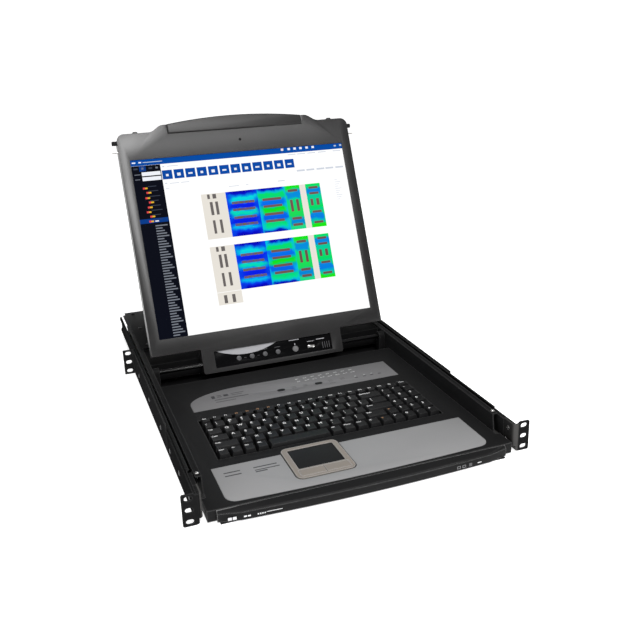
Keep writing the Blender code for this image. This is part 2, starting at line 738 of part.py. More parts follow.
def computer_ports(parent, material):
    """Two rows of connectors for the connected computers, on one plate."""
    x_range, z_range = port_window(-GAP)
    block = box("computer_ports", x_range, (688.0, PANEL_Y[1] - 0.2), z_range)
    shells = bmesh.new()
    for column in range(PORT_COLUMNS):
        for z in PORT_ROW_Z:
            x = PORT_FIRST_X + PORT_PITCH * column
            outline = connector_outline(x, z, 8.6, 4.4)
            add_loft(shells, [[at("Y", a, b, y) for a, b in outline] for y in (695.0, 704.5)])
            for screw_x in (x - 12.5, x + 12.5):
                nut = circle(screw_x, z, 2.4, 6)
                add_loft(shells, [[at("Y", a, b, y) for a, b in nut] for y in (695.0, 702.5)])
    join(block, solid("shells", shells))
    return settle(block, (PORT_FIRST_X, PANEL_Y[0], PORT_ROW_Z[0]), parent, material)


def console_ports(parent, material):
    """Outlets for a second keyboard, mouse and screen."""
    (low_x, high_x), (low_z, high_z) = CONSOLE_WINDOW
    block = box("console_ports", (low_x + GAP, high_x - GAP), (688.0, PANEL_Y[1] - 0.2),
                (low_z + GAP, high_z - GAP))
    middle = (low_x + high_x) / 2
    parts = [prism("shell", connector_outline(middle, 13.0, 8.6, 4.4), 695.0, 704.5, "Y")]
    for side in (-1, 1):
        ring = circle(middle + side * 9.0, 30.0, 6.4, 16)
        parts.append(prism("round_port", ring, 695.0, 702.0, "Y"))
    join(block, *parts)
    return settle(block, (middle, PANEL_Y[0], REAR_MIDDLE_Z), parent, material)


def power_inlet(parent, material):
    """Mains inlet: flange, open socket and its three blades."""
    x, z = INLET_X, REAR_MIDDLE_Z
    inlet = box("power_inlet", (x - 13.4, x + 13.4), (678.0, 700.0), (z - 9.8, z + 9.8))
    flange = prism("flange", round_rectangle(x - 17.0, x + 17.0, z - 12.5, z + 12.5, 4.0),
                   PANEL_Y[1] + GAP, 701.5, "Y")
    join(inlet, flange)
    cavity = [(x - 12.0, z - 8.0), (x + 12.0, z - 8.0), (x + 12.0, z + 4.0),
              (x + 8.0, z + 8.0), (x - 8.0, z + 8.0), (x - 12.0, z + 4.0)]
    cut(inlet, prism("cavity", cavity, 684.0, 710.0, "Y"))
    blades = [box("blade", (x + dx - 1.0, x + dx + 1.0), (683.0, 698.0), (z + dz - 2, z + dz + 2))
              for dx, dz in ((-7.0, -2.0), (0.0, 2.0), (7.0, -2.0))]
    join(inlet, *blades)
    return settle(inlet, (x, PANEL_Y[1], z), parent, material)


def power_switch(parent, material):
    """Rocker with a round back and a dished face, tipped so that its top stands out."""
    radius, face = 8.0, 6.6
    rise = radius * math.tan(math.radians(SWITCH_DISH_DEG + SWITCH_TILT_DEG))
    fall = radius * math.tan(math.radians(SWITCH_TILT_DEG - SWITCH_DISH_DEG))
    outline = arc(SWITCH_PIVOT_Y, REAR_MIDDLE_Z, radius, 90, 270, 12)
    outline += [(SWITCH_PIVOT_Y + face - fall, REAR_MIDDLE_Z - radius),
                (SWITCH_PIVOT_Y + face, REAR_MIDDLE_Z),
                (SWITCH_PIVOT_Y + face + rise, REAR_MIDDLE_Z + radius)]
    rocker = prism("power_switch", outline, SWITCH_X - 5.4, SWITCH_X + 5.4, "X")
    return settle(rocker, (SWITCH_X, SWITCH_PIVOT_Y, REAR_MIDDLE_Z), parent, material)


def main_board(parent, material):
    """Switching board with its processor, memory and coils."""
    board = box("main_board", (-200.0, 108.0), (520.0, 686.0), (6.0, 7.6))
    chips = [box("chip", (x - w, x + w), (y - w, y + w), (7.2, 7.6 + h))
             for x, y, w, h in ((-120.0, 600.0, 12.0, 2.4), (-60.0, 600.0, 9.0, 2.0),
                                (0.0, 600.0, 16.0, 9.0), (60.0, 580.0, 7.0, 3.0))]
    posts = [prism("post", circle(x, y, 3.0, 8), 1.5, 6.4, "Z")
             for x in (-190.0, 98.0) for y in (530.0, 676.0)]
    join(board, *chips, *posts)
    return settle(board, (0.0, 520.0, 6.0), parent, material)


def power_supply(parent, material):
    """Closed power supply block in front of the inlet, its edges eased."""
    supply = box("power_supply", (118.0, 203.0), (520.0, 672.0), (1.5, 36.0))
    ease = supply.modifiers.new("ease", "BEVEL")
    ease.width = 0.8 * SCALE
    ease.segments = 1
    return settle(supply, (160.0, 520.0, 1.5), parent, material)


# ---------------------------------------------------------------- screen

def face_outline(inset, handle_notch=True):
    """Front view of the screen case in (X, height above the axis)."""
    low = FACE_BOTTOM_V - AXIS_V + inset
    top = FACE_TOP_V - AXIS_V - inset
    wide = FACE_HALF_WIDTH - inset
    tongue = TONGUE_HALF_WIDTH - inset
    tongue_low = TONGUE_BOTTOM_V - AXIS_V + inset
    notch_x = HANDLE_HALF_WIDTH + GAP + inset
    notch_low = HANDLE_BOTTOM_V - AXIS_V - GAP - inset
    right = arc(tongue - 4.0, tongue_low + 4.0, 4.0, 270, 360, 3)
    right += [(tongue, low), (wide, low)]
    right += arc(wide - FACE_CORNER, top - FACE_CORNER, FACE_CORNER, 0, 90, 6)
    if handle_notch:
        rise = SHOULDER_TOP_V - FACE_TOP_V
        for i in range(7):
            across = i / 6
            lift = rise * (1 - math.cos(math.pi * across)) / 2
            right.append((150.0 - 24.0 * across, top + lift))
        right += [(notch_x, top + rise), (notch_x, notch_low)]
    else:
        right += [(notch_x + 8.0, top), (notch_x + 8.0, notch_low)]
    left = [(-x, z) for x, z in reversed(right)]
    return right + left


def deep(d):
    """Depth behind the face as Y from the hinge axis."""
    return d - AXIS_D


def high(v):
    """Height above the screen's lower edge as Z from the hinge axis."""
    return v - AXIS_V


def lock_holes():
    """Cutters in the case's sides for the lock knob and pin."""
    cutters = []
    for side in (-1, 1):
        for v, radius in ((LOCK_KNOB_V, LOCK_KNOB_RADIUS), (LOCK_PIN_V, LOCK_PIN_RADIUS)):
            outline = circle(deep(LOCK_D), high(v), radius + GAP, 16)
            cutters.append(prism("hole", outline, side * 199.0, side * 210.0, "X"))
    return cutters


def screen_bezel(parent, material):
    """Front half of the case: screen opening, control window and the sides."""
    bezel = prism("screen_bezel", face_outline(0.0), deep(0.0), deep(SEAM_D), "Y")
    hollow = prism("hollow", face_outline(SHELL, False), deep(SHELL), deep(SEAM_D + 1.0), "Y")
    view = rectangle(-SCREEN_HALF_WIDTH, SCREEN_HALF_WIDTH, high(0.0), high(SCREEN_HEIGHT))
    strip = rectangle(*STRIP_X, high(STRIP_V[0]), high(STRIP_V[1]))
    depth = (deep(-1.0), deep(SHELL + 1.0))
    shaft = circle(0.0, 0.0, SHAFT_RADIUS + GAP, 24)
    shaft_holes = [prism("hole", shaft, side * 118.0, side * 130.0, "X") for side in (-1, 1)]
    cut(bezel, hollow, prism("view", view, *depth, "Y"), prism("strip", strip, *depth, "Y"),
        *shaft_holes, *lock_holes())
    return settle(bezel, (0.0, 0.0, 0.0), parent, material)


def screen_back(parent, material):
    """Rear half of the case."""
    back = prism("screen_back", face_outline(0.0), deep(SEAM_D + GAP), deep(SCREEN_THICK), "Y")
    inner = face_outline(SHELL, False)
    hollow = prism("hollow", inner, deep(SEAM_D - 1.0), deep(SCREEN_THICK - SHELL), "Y")
    cut(back, hollow)
    return settle(back, (0.0, 0.0, 0.0), parent, material)


def screen_panel(parent, material):
    """Display glass and its backlight as one module."""
    border = 4.0
    outline = rectangle(-SCREEN_HALF_WIDTH - border, SCREEN_HALF_WIDTH + border,
                        high(-border), high(SCREEN_HEIGHT + border))
    panel = prism("screen_panel", outline, deep(SHELL + GAP), deep(9.0), "Y")
    return settle(panel, (0.0, deep(SHELL + GAP), high(0.0)), parent, material)


def driver_board(parent, material):
    """Panel driver board behind the display."""
    board = box("driver_board", (-80.0, 80.0), (deep(10.0), deep(11.6)), (high(90.0), high(190.0)))
    parts = [box("chip", (x - 7.0, x + 7.0), (deep(11.2), deep(13.6)), (high(v - 7), high(v + 7)))
             for x, v in ((-40.0, 140.0), (30.0, 150.0))]
    join(board, *parts)
    return settle(board, (0.0, deep(10.0), high(90.0)), parent, material)


def screen_handle(parent, material):
    """Grip along the top of the screen, arched above and proud of the face."""
    half = HANDLE_HALF_WIDTH
    low = high(HANDLE_BOTTOM_V)
    end_top, crown = high(357.5), 8.5
    outline = [(-half, low), (half, low)]
    steps = 16
    for i in range(steps + 1):
        across = 1 - 2 * i / steps
        outline.append((half * across, end_top + crown * (1 - across * across)))
    front, back, round_off = deep(-1.6), deep(SCREEN_THICK), 1.6

    def ring(inset, depth):
        middle = (low + end_top) / 2
        loop = []
        for x, z in outline:
            loop.append(at("Y", x * (1 - inset / half), z + (inset if z < middle else -inset), depth))
        return loop
    loops = [ring(round_off, front), ring(0.0, front + round_off),
             ring(0.0, back - round_off), ring(round_off, back)]
    handle = loft("screen_handle", loops)
    return settle(handle, (0.0, 0.0, low), parent, material)


def control_strip(parent, material):
    """Recessed plate of the control window, with holes for the buttons and the USB socket."""
    outline = rectangle(STRIP_X[0] - 4, STRIP_X[1] + 4, high(STRIP_V[0] - 3), high(STRIP_V[1] + 3))
    strip = prism("control_strip", outline, deep(SHELL + GAP), deep(4.0), "Y")
    depth = (deep(0.0), deep(6.0))
    cutters = [prism("hole", circle(x, high(BUTTON_V), r + GAP, 20), *depth, "Y")
               for x, r in button_sizes()]
    usb = rectangle(USB_X - 6.6, USB_X + 6.6, high(BUTTON_V - 2.6), high(BUTTON_V + 2.6))
    cutters.append(prism("hole", usb, *depth, "Y"))
    cut(strip, *cutters)
    return settle(strip, (0.0, deep(SHELL), high(STRIP_V[0])), parent, material)


def button_sizes():
    """X and radius of the five screen buttons."""
    return [(x, 4.2) for x in MENU_BUTTON_X] + [(POWER_BUTTON_X, 5.2)]


def screen_button(name, x, radius, parent, material):
    """Round button with a collar behind the plate."""
    rings = [(radius - 0.6, 0.6), (radius, 1.2), (radius, 4.9), (radius + 1.2, 4.9),
             (radius + 1.2, 6.2)]
    loops = [[at("Y", a, b, deep(d)) for a, b in circle(x, high(BUTTON_V), r, 20)]
             for r, d in rings]
    button = smooth(loft(name, loops))
    return settle(button, (x, deep(1.2), high(BUTTON_V)), parent, material)


def usb_socket(parent, material):
    """USB socket in the control strip: shell with its tongue."""
    x, v = USB_X, BUTTON_V
    socket = box("usb_socket", (x - 6.2, x + 6.2), (deep(1.4), deep(12.0)),
                 (high(v - 2.3), high(v + 2.3)))
    mouth = box("mouth", (x - 5.6, x + 5.6), (deep(0.0), deep(10.5)), (high(v - 1.7), high(v + 0.2)))
    cut(socket, mouth)
    return settle(socket, (x, deep(1.4), high(v)), parent, material)


def screen_lock(side, parent, material):
    """Side lock: black knob and pin on one sliding plate inside the case."""
    plate_x = span(side, 194.5, 198.5)
    plate = box(side_name(side, "screen_lock"), plate_x, (deep(4.6), deep(10.4)),
                (high(LOCK_PIN_V - 4), high(LOCK_KNOB_V + 4)))
    middle_y = deep(LOCK_D)
    knob = circle(middle_y, high(LOCK_KNOB_V), LOCK_KNOB_RADIUS, 16)
    pin = circle(middle_y, high(LOCK_PIN_V), LOCK_PIN_RADIUS, 12)
    join(plate, prism("knob", knob, side * 198.0, side * 212.5, "X"),
         prism("pin", pin, side * 198.0, side * 215.2, "X"))
    return settle(plate, (side * 196.5, middle_y, high(LOCK_KNOB_V)), parent, material)


def hinge_shaft(side, parent, material):
    """Steel shaft that the screen turns on, clamped inside the tongue."""
    shaft = circle(0.0, 0.0, SHAFT_RADIUS, 24)
    name = side_name(side, "hinge_shaft")
    rod = prism(name, shaft, side * 109.5, side * 202.5, "X")
    clamp = box("clamp", span(side, 110.0, 119.0), (-5.0, 2.0), (-7.5, 7.5))
    join(rod, clamp)
    return settle(smooth(rod), (side * 124.0, 0.0, 0.0), parent, material)


# ---------------------------------------------------------------- build

def build_rack_frame(root, finishes):
    """Fixed slides and ears, the adjustable rear brackets, and the travelling members."""
    for side in (-1, 1):
        outer_rail(side, root, finishes["black_steel"])
        front_ear(side, root, finishes["black_steel"])
        carrier = empty(side_name(side, "rear_bracket_slide"), root)
        rear_bracket(side, carrier, finishes["black_steel"])
    travelling = empty("middle_slide", root)
    for side in (-1, 1):
        middle_rail(side, travelling, finishes["steel"])


def build_drawer(drawer, finishes):
    """Tray, deck, panels, keys, touchpad and hinge brackets."""
    drawer_tray(drawer, finishes["black_steel"])
    keyboard_deck(drawer, finishes["deck"])
    front_handle(drawer, finishes["deck"])
    holes = port_button_holes()
    panel_plate("upper_panel", upper_panel_outline(0.0), holes, drawer, finishes["upper_silver"])
    panel_plate("wrist_panel", wrist_panel_outline(0.0), (), drawer, finishes["wrist_silver"])
    for name, x in zip(("previous_port_button", "next_port_button"), PORT_BUTTON_X):
        port_button(name, x, drawer, finishes["key"])
    key_plate(drawer, finishes["steel"])
    for name, row, widths in KEY_ROWS:
        key_row(name, row, widths, drawer, finishes["key"])
        if row in SINGLE_KEYS:
            single_key(row, widths, drawer, finishes["key"])
    touchpad_frame(drawer, finishes["beige"])
    touchpad(drawer, finishes["key"])
    for side in (-1, 1):
        pad_button(side, drawer, finishes["beige"])
        inner_rail(side, drawer, finishes["steel"])
        hinge_bracket(side, drawer, finishes["black_steel"])
        flange_stud(side, drawer, finishes["steel"])


def build_rear_box(drawer, finishes):
    """Covers, rear panel, ports and electronics."""
    hinge_cover(drawer, finishes["black_steel"])
    rear_cover(drawer, finishes["black_steel"])
    rear_panel(drawer, finishes["black_steel"])
    computer_ports(drawer, finishes["steel"])
    console_ports(drawer, finishes["steel"])
    power_inlet(drawer, finishes["key"])
    power_switch(drawer, finishes["key"])
    main_board(drawer, finishes["board"])
    power_supply(drawer, finishes["steel"])


def build_screen(drawer, finishes):
    """Everything that turns about the hinge axis."""
    hinge = empty("screen_hinge", drawer, (0.0, HINGE_Y, HINGE_Z), -LEAN_DEG)
    screen_bezel(hinge, finishes["bezel"])
    screen_back(hinge, finishes["bezel"])
    screen_panel(hinge, finishes["glass"])
    driver_board(hinge, finishes["board"])
    screen_handle(hinge, finishes["bezel"])
    control_strip(hinge, finishes["key"])
    names = ("menu_button", "left_button", "right_button", "exit_button", "screen_power_button")
    for name, (x, radius) in zip(names, button_sizes()):
        screen_button(name, x, radius, hinge, finishes["upper_silver"])
    usb_socket(hinge, finishes["steel"])
    for side in (-1, 1):
        screen_lock(side, hinge, finishes["key"])
        hinge_shaft(side, hinge, finishes["steel"])


def make_finishes():
    """The materials by name."""
    return {
        "black_steel": finish("black_steel", BLACK, 0.45, 0.2),
        "deck": finish("deck_plastic", DECK_BLACK, 0.55),
        "key": finish("key_plastic", KEY_BLACK, 0.5),
        "bezel": finish("bezel_plastic", DECK_BLACK, 0.4),
        "upper_silver": finish("upper_silver", GREY, 0.4, 0.6),
        "wrist_silver": finish("wrist_silver", WRIST_GREY, 0.4, 0.6),
        "beige": finish("touchpad_beige", BEIGE, 0.35, 0.5),
        "steel": finish("bright_steel", STEEL, 0.3, 1.0),
        "glass": finish("screen_glass", GLASS, 0.1),
        "board": finish("circuit_board", BOARD, 0.5),
    }


def main():
    """Build the whole console."""
    clear_scene()
    finishes = make_finishes()
    root = empty("console", None)
    drawer = empty("drawer_slide", root)
    build_rack_frame(root, finishes)
    build_drawer(drawer, finishes)
    build_rear_box(drawer, finishes)
    build_screen(drawer, finishes)


main()
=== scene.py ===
"""Rack console with keyboard drawer, fold-up screen and switch electronics, dressed in a studio.

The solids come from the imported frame.  Sheet metal and mouldings are eased copies of those solids,
and the keys, legends, picture, fasteners and sockets are modelled here.
"""
import json
import logging
import math
from dataclasses import dataclass
from enum import Enum
from typing import Any, Callable, Iterable, Sequence

import bpy
from mathutils import Matrix, Quaternion, Vector

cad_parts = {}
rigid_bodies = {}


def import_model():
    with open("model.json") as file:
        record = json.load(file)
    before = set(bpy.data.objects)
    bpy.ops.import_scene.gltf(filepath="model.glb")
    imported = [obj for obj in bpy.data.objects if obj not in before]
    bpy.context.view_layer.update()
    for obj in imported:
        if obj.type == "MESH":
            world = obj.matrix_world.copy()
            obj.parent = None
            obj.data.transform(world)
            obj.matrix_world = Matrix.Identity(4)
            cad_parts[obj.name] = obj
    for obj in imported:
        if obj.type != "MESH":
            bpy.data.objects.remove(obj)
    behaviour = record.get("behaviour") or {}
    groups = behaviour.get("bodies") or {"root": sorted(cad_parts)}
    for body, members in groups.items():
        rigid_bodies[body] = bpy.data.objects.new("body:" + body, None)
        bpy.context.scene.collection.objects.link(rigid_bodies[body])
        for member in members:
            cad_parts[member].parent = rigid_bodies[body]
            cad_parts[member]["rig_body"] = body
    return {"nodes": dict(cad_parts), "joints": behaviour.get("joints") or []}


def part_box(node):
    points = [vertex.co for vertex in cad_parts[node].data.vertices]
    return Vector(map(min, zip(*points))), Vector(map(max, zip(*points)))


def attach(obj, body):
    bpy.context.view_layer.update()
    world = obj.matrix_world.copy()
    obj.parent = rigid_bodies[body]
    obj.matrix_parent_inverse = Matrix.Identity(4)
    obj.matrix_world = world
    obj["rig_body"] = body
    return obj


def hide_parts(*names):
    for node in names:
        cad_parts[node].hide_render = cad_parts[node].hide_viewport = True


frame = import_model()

MM = 0.001
LOG = logging.getLogger("console")
SCREEN_LEAN = 23.8
SCREEN_RISE = 51.9
SCREEN_DEPTH = 9.3
DARK = (0.002, 0.002, 0.002, 1.0)
# Colour of the painted highlight across the ears' bends.
PAINTED_BEND_HIGHLIGHT = (0.08, 0.078, 0.076, 1.0)
WELD = 0.000002
INK_EDGE = 0.00001
SMOOTH_ANGLE = math.radians(40.0)
TURNED_SMOOTH_ANGLE = math.radians(35.0)

Colour = tuple[float, float, float]
Rect = tuple[float, float, float, float]
FaceTest = Callable[[bpy.types.MeshPolygon], bool]


# ------------------------------------------------------------------ shader sketching


class Wire:
    """One output socket of a shader graph; arithmetic on it adds Math nodes."""

    def __init__(self, graph: "Graph", socket: bpy.types.NodeSocket) -> None:
        """Keep the graph and the socket.

        Args:
            graph: The graph that owns the socket.
            socket: The output socket to read.
        """
        self.graph = graph
        self.socket = socket

    def _maths(self, operation: str, first: Any, second: Any) -> "Wire":
        """Add one Math node.

        Args:
            operation: The Math node's operation.
            first: Its first value or wire.
            second: Its second value or wire.

        Returns:
            The node's result.
        """
        return self.graph.add("ShaderNodeMath", {"operation": operation}, {0: first, 1: second})

    def __add__(self, other: Any) -> "Wire":
        """Sum."""
        return self._maths("ADD", self, other)

    def __radd__(self, other: Any) -> "Wire":
        """Sum, with the wire on the right."""
        return self._maths("ADD", other, self)

    def __sub__(self, other: Any) -> "Wire":
        """Difference."""
        return self._maths("SUBTRACT", self, other)

    def __rsub__(self, other: Any) -> "Wire":
        """Difference, with the wire on the right."""
        return self._maths("SUBTRACT", other, self)

    def __mul__(self, other: Any) -> "Wire":
        """Product."""
        return self._maths("MULTIPLY", self, other)

    def __rmul__(self, other: Any) -> "Wire":
        """Product, with the wire on the right."""
        return self._maths("MULTIPLY", other, self)

    def __mod__(self, other: Any) -> "Wire":
        """Remainder."""
        return self._maths("MODULO", self, other)

    def __abs__(self) -> "Wire":
        """Size without sign."""
        return self._maths("ABSOLUTE", self, 0.0)

    def __gt__(self, other: Any) -> "Wire":
        """One where the wire is above the other value, zero elsewhere."""
        return self._maths("GREATER_THAN", self, other)


class Graph:
    """The node tree of one material."""

    def __init__(self, name: str) -> None:
        """Start an empty tree with its output node.

        Args:
            name: The material's name.
        """
        self.material = bpy.data.materials.new(name)
        self.material.use_nodes = True
        self.tree = self.material.node_tree
        self.tree.nodes.clear()

    def add(self, kind: str, settings: dict[str, Any] | None = None,
            sockets: dict[Any, Any] | None = None, output: int | str = 0) -> Wire:
        """Add a node, set it up and connect it.

        Args:
            kind: The node's type.
            settings: Properties set before the sockets; "stops" fills a colour ramp.
            sockets: A value or a wire for each named or numbered input.
            output: The output that the returned wire reads.

        Returns:
            The chosen output, or a wire on nothing for an output node.
        """
        node = self.tree.nodes.new(kind)
        for name, value in (settings or {}).items():
            if name == "stops":
                self._fill_ramp(node.color_ramp, value)
            else:
                setattr(node, name, value)
        for key, value in (sockets or {}).items():
            if isinstance(value, Wire):
                self.tree.links.new(value.socket, node.inputs[key])
            else:
                node.inputs[key].default_value = value
        return Wire(self, node.outputs[output] if len(node.outputs) else None)

    @staticmethod
    def _fill_ramp(ramp: bpy.types.ColorRamp, stops: Sequence[tuple[float, Colour]]) -> None:
        """Put the stops on a colour ramp.

        Args:
            ramp: The ramp.
            stops: Position and colour of each stop, at least two.
        """
        while len(ramp.elements) < len(stops):
            ramp.elements.new(1.0)
        for element, (position, colour) in zip(ramp.elements, stops):
            element.position = position
            element.color = (*colour, 1.0)

    def place(self, stretch: Colour = (1.0, 1.0, 1.0)) -> Wire:
        """Object coordinates, stretched along the axes.

        Args:
            stretch: Scale on X, Y and Z.

        Returns:
            The coordinate vector.
        """
        spot = self.add("ShaderNodeTexCoord", output="Object")
        return self.add("ShaderNodeMapping", {}, {"Vector": spot, "Scale": stretch})

    def axes(self, placing: Matrix) -> tuple[Wire, Wire]:
        """Millimetres across and up a placed plane.

        Args:
            placing: The plane's placing, with X across and Z up.

        Returns:
            The distance across and the distance up.
        """
        back = placing.inverted()
        settings = {"Vector": self.add("ShaderNodeTexCoord", output="Object"),
                    "Location": back.to_translation() / MM, "Rotation": back.to_euler(),
                    "Scale": (1 / MM, 1 / MM, 1 / MM)}
        place = self.add("ShaderNodeMapping", {}, settings)
        across = self.add("ShaderNodeSeparateXYZ", {}, {0: place}, "X")
        return across, self.add("ShaderNodeSeparateXYZ", {}, {0: place}, "Z")

    def noise(self, scale: float, detail: float = 3.0, stretch: Colour = (1.0, 1.0, 1.0)) -> Wire:
        """Smooth noise from 0 to 1 over the surface.

        Args:
            scale: Features per metre.
            detail: Octaves.
            stretch: Scale on X, Y and Z.

        Returns:
            The noise value.
        """
        sockets = {"Vector": self.place(stretch), "Scale": scale, "Detail": detail}
        return self.add("ShaderNodeTexNoise", {}, sockets)

    def between(self, factor: Wire, low: Colour, high: Colour) -> Wire:
        """A colour between two, by a factor.

        Args:
            factor: 0 gives the first colour and 1 the second.
            low: The first colour.
            high: The second colour.

        Returns:
            The mixed colour.
        """
        stops = [(0.0, low), (1.0, high)]
        return self.add("ShaderNodeValToRGB", {"stops": stops}, {"Fac": factor})

    def mix(self, factor: Any, first: Any, second: Any) -> Wire:
        """Mix two colours.

        Args:
            factor: 0 gives the first colour and 1 the second.
            first: A colour or a wire.
            second: A colour or a wire.

        Returns:
            The mixed colour.
        """
        return self.add("ShaderNodeMix", {"data_type": "RGBA"}, {0: factor, 6: first, 7: second}, 2)

    def edges(self, reach: float) -> Wire:
        """One along edges and zero on open faces.

        Args:
            reach: How far from an edge it fades out, in metres.

        Returns:
            The edge mask.
        """
        rounded = self.add("ShaderNodeBevel", {"samples": 6}, {"Radius": reach})
        actual = self.add("ShaderNodeNewGeometry", output="Normal")
        likeness = self.add("ShaderNodeVectorMath", {"operation": "DOT_PRODUCT"},
                            {0: rounded, 1: actual}, "Value")
        return self.add("ShaderNodeMapRange", {}, {"Value": 1 - likeness, "From Max": 0.1})

    def relief(self, height: Wire, depth: float) -> Wire:
        """A normal from a height.

        Args:
            height: The height from 0 to 1.
            depth: What 1 stands for, in metres.

        Returns:
            The normal.
        """
        sockets = {"Height": height, "Distance": depth, "Strength": 1.0}
        return self.add("ShaderNodeBump", {}, sockets)

    def finish(self, sockets: dict[str, Any]) -> bpy.types.Material:
        """Close the tree with one Principled shader.

        Args:
            sockets: Values and wires for the shader's inputs.

        Returns:
            The finished material.
        """
        shader = self.add("ShaderNodeBsdfPrincipled", {}, sockets)
        self.add("ShaderNodeOutputMaterial", {}, {"Surface": shader})
        return self.material

    def glow(self, light: Wire, strength: float = 1.0) -> bpy.types.Material:
        """Close the tree with a dark surface that gives off its own light.

        Args:
            light: The light's colour.
            strength: Its strength.

        Returns:
            The finished material.
        """
        return self.finish({"Base Color": DARK, "Roughness": 0.35, "Specular IOR Level": 0.0,
                            "Emission Color": light, "Emission Strength": strength})


def shade(colour: Colour, amount: float) -> Colour:
    """A lighter or darker colour.

    Args:
        colour: The colour to start from.
        amount: What each channel is multiplied by.

    Returns:
        The new colour, held between 0 and 1.
    """
    return tuple(min(1.0, max(0.0, channel * amount)) for channel in colour)


def screen_placing() -> Matrix:
    """Placing of the leaning screen, from the hinge axis: X across, Y back and Z up."""
    hinge = next(joint for joint in frame["joints"] if joint["name"] == "screen_hinge")
    lean = Matrix.Rotation(math.radians(-SCREEN_LEAN), 4, "X")
    return Matrix.Translation(Vector(hinge["pos_m"])) @ lean


# ------------------------------------------------------------------ finishes


@dataclass(frozen=True)
class Coat:
    """Powder coat, satin paint or grained moulding: mottled colour over a fine relief, with painted
    highlights along edges and across bends where asked.
    """

    name: str
    colour: Colour
    roughness: float
    grain: float = 1400.0
    relief: float = 0.00003
    mottle: float = 0.25
    metallic: float = 0.0
    scuffs: float = 0.0
    specular: float = 0.15
    edge_highlight: float = 0.0
    edge_highlight_tone: float = 0.09
    bend_highlights: tuple[tuple[float, float], ...] = ()

    def make(self) -> bpy.types.Material:
        """Build the material."""
        graph = Graph(self.name)
        cloud = graph.noise(16.0, 4.0)
        speck = graph.noise(self.grain, 2.0)
        tone = 0.7 * cloud + 0.3 * speck
        colour = graph.between(
            tone, shade(self.colour, 1 - self.mottle), shade(self.colour, 1 + self.mottle))
        scratch = graph.noise(60.0, 5.0, (1.0, 22.0, 9.0)) > 0.68
        rough = (self.roughness - 0.06) + 0.12 * cloud - (0.1 * self.scuffs) * scratch
        normal = graph.relief(speck - (0.5 * self.scuffs) * scratch, self.relief)
        # Painted highlight: edges are mixed toward a pale tone, standing in for light caught along
        # rounded edges.
        if self.edge_highlight:
            painted_edge_highlight = self.edge_highlight * (graph.edges(0.002) * (0.6 + 0.6 * cloud))
            colour = graph.mix(painted_edge_highlight, colour, (*(self.edge_highlight_tone,) * 3, 1.0))
        # Painted highlight: a lighter band across the bent corner at each given X, standing in for
        # the light that the bend catches.
        for middle, half in self.bend_highlights:
            across, _up = graph.axes(Matrix.Identity(4))
            fade = {"Value": abs(across - middle), "From Min": 0.5 * half, "From Max": half,
                    "To Min": 0.8, "To Max": 0.0}
            painted_bend_band = graph.add("ShaderNodeMapRange", {}, fade)
            colour = graph.mix(painted_bend_band, colour, PAINTED_BEND_HIGHLIGHT)
        return graph.finish({"Base Color": colour, "Roughness": rough,
                             "Specular IOR Level": self.specular,
                             "Metallic": self.metallic, "Normal": normal})


@dataclass(frozen=True)
class Plating:
    """Zinc plate, nickel or bare steel with drawn lines and cloudy patches."""

    name: str
    colour: Colour
    roughness: float
    along: Colour = (1.0, 0.05, 1.0)

    def make(self) -> bpy.types.Material:
        """Build the material."""
        graph = Graph(self.name)
        lines = graph.noise(900.0, 3.0, self.along)
        cloud = graph.noise(70.0, 4.0)
        tone = 0.5 * lines + 0.5 * cloud
        colour = graph.between(tone, shade(self.colour, 0.75), shade(self.colour, 1.15))
        rough = (self.roughness - 0.08) + 0.16 * tone
        return graph.finish({"Base Color": colour, "Roughness": rough, "Metallic": 1.0,
                             "Normal": graph.relief(lines, 0.00001)})


@dataclass(frozen=True)
class Print:
    """Screen-printed or moulded-in ink, slightly uneven."""

    name: str
    colour: Colour
    roughness: float = 0.5

    def make(self) -> bpy.types.Material:
        """Build the material."""
        graph = Graph(self.name)
        fleck = graph.noise(2500.0, 2.0)
        colour = graph.between(fleck, shade(self.colour, 0.8), shade(self.colour, 1.1))
        return graph.finish({"Base Color": colour, "Roughness": 0.1 * fleck + self.roughness,
                             "Normal": graph.relief(fleck, 0.00001)})


@dataclass(frozen=True)
class Lit:
    """A lit area of the picture: its own light, faintly uneven like a backlight."""

    name: str
    colour: Colour
    strength: float = 1.0
    unevenness: float = 0.03

    def make(self) -> bpy.types.Material:
        """Build the material."""
        graph = Graph(self.name)
        cloud = graph.noise(9.0, 1.0)
        low = shade(self.colour, 1 - 2 * self.unevenness)
        light = graph.between(cloud, low, self.colour)
        return graph.glow(light, self.strength)


@dataclass(frozen=True)
class Patches:
    """Lit area broken up into patches of a few colours."""

    name: str
    stops: tuple[tuple[float, Colour], ...]
    scale: float

    def make(self) -> bpy.types.Material:
        """Build the material."""
        graph = Graph(self.name)
        spread = 2.6 * graph.noise(self.scale, 1.0) - 0.8
        light = graph.add("ShaderNodeValToRGB", {"stops": self.stops}, {"Fac": spread})
        return graph.glow(light)


@dataclass(frozen=True)
class HeatMap:
    """Part of a room plan coloured by temperature, in bands that follow the aisles."""

    name: str
    left: float
    right: float
    bands: tuple[tuple[float, Colour], ...]
    edge: Colour
    edge_start: float = 0.6
    lowest: float = 64.0
    height: float = 78.0
    pitch: float = 91.0

    def make(self) -> bpy.types.Material:
        """Build the material."""
        graph = Graph(self.name)
        across, up = graph.axes(screen_placing())
        stray = graph.noise(75.0, 1.5) - 0.5
        fine = graph.noise(400.0, 2.0) - 0.5
        height = (up - (SCREEN_RISE + self.lowest)) % self.pitch
        level = (1 / self.height) * (height + 9.0 * stray + 3.0 * fine)
        stops = [(position / self.height, colour) for position, colour in self.bands]
        core = graph.add("ShaderNodeValToRGB", {"stops": stops}, {"Fac": level})
        middle, half = (self.left + self.right) / 2, (self.right - self.left) / 2
        aside = (1 / half) * abs(across - middle) + 0.8 * stray
        ends = {"Value": aside, "From Min": self.edge_start, "From Max": 1.1}
        factor = graph.add("ShaderNodeMapRange", {"interpolation_type": "SMOOTHSTEP"}, ends)
        light = graph.mix(factor, core, (*self.edge, 1.0))
        return graph.glow(light)


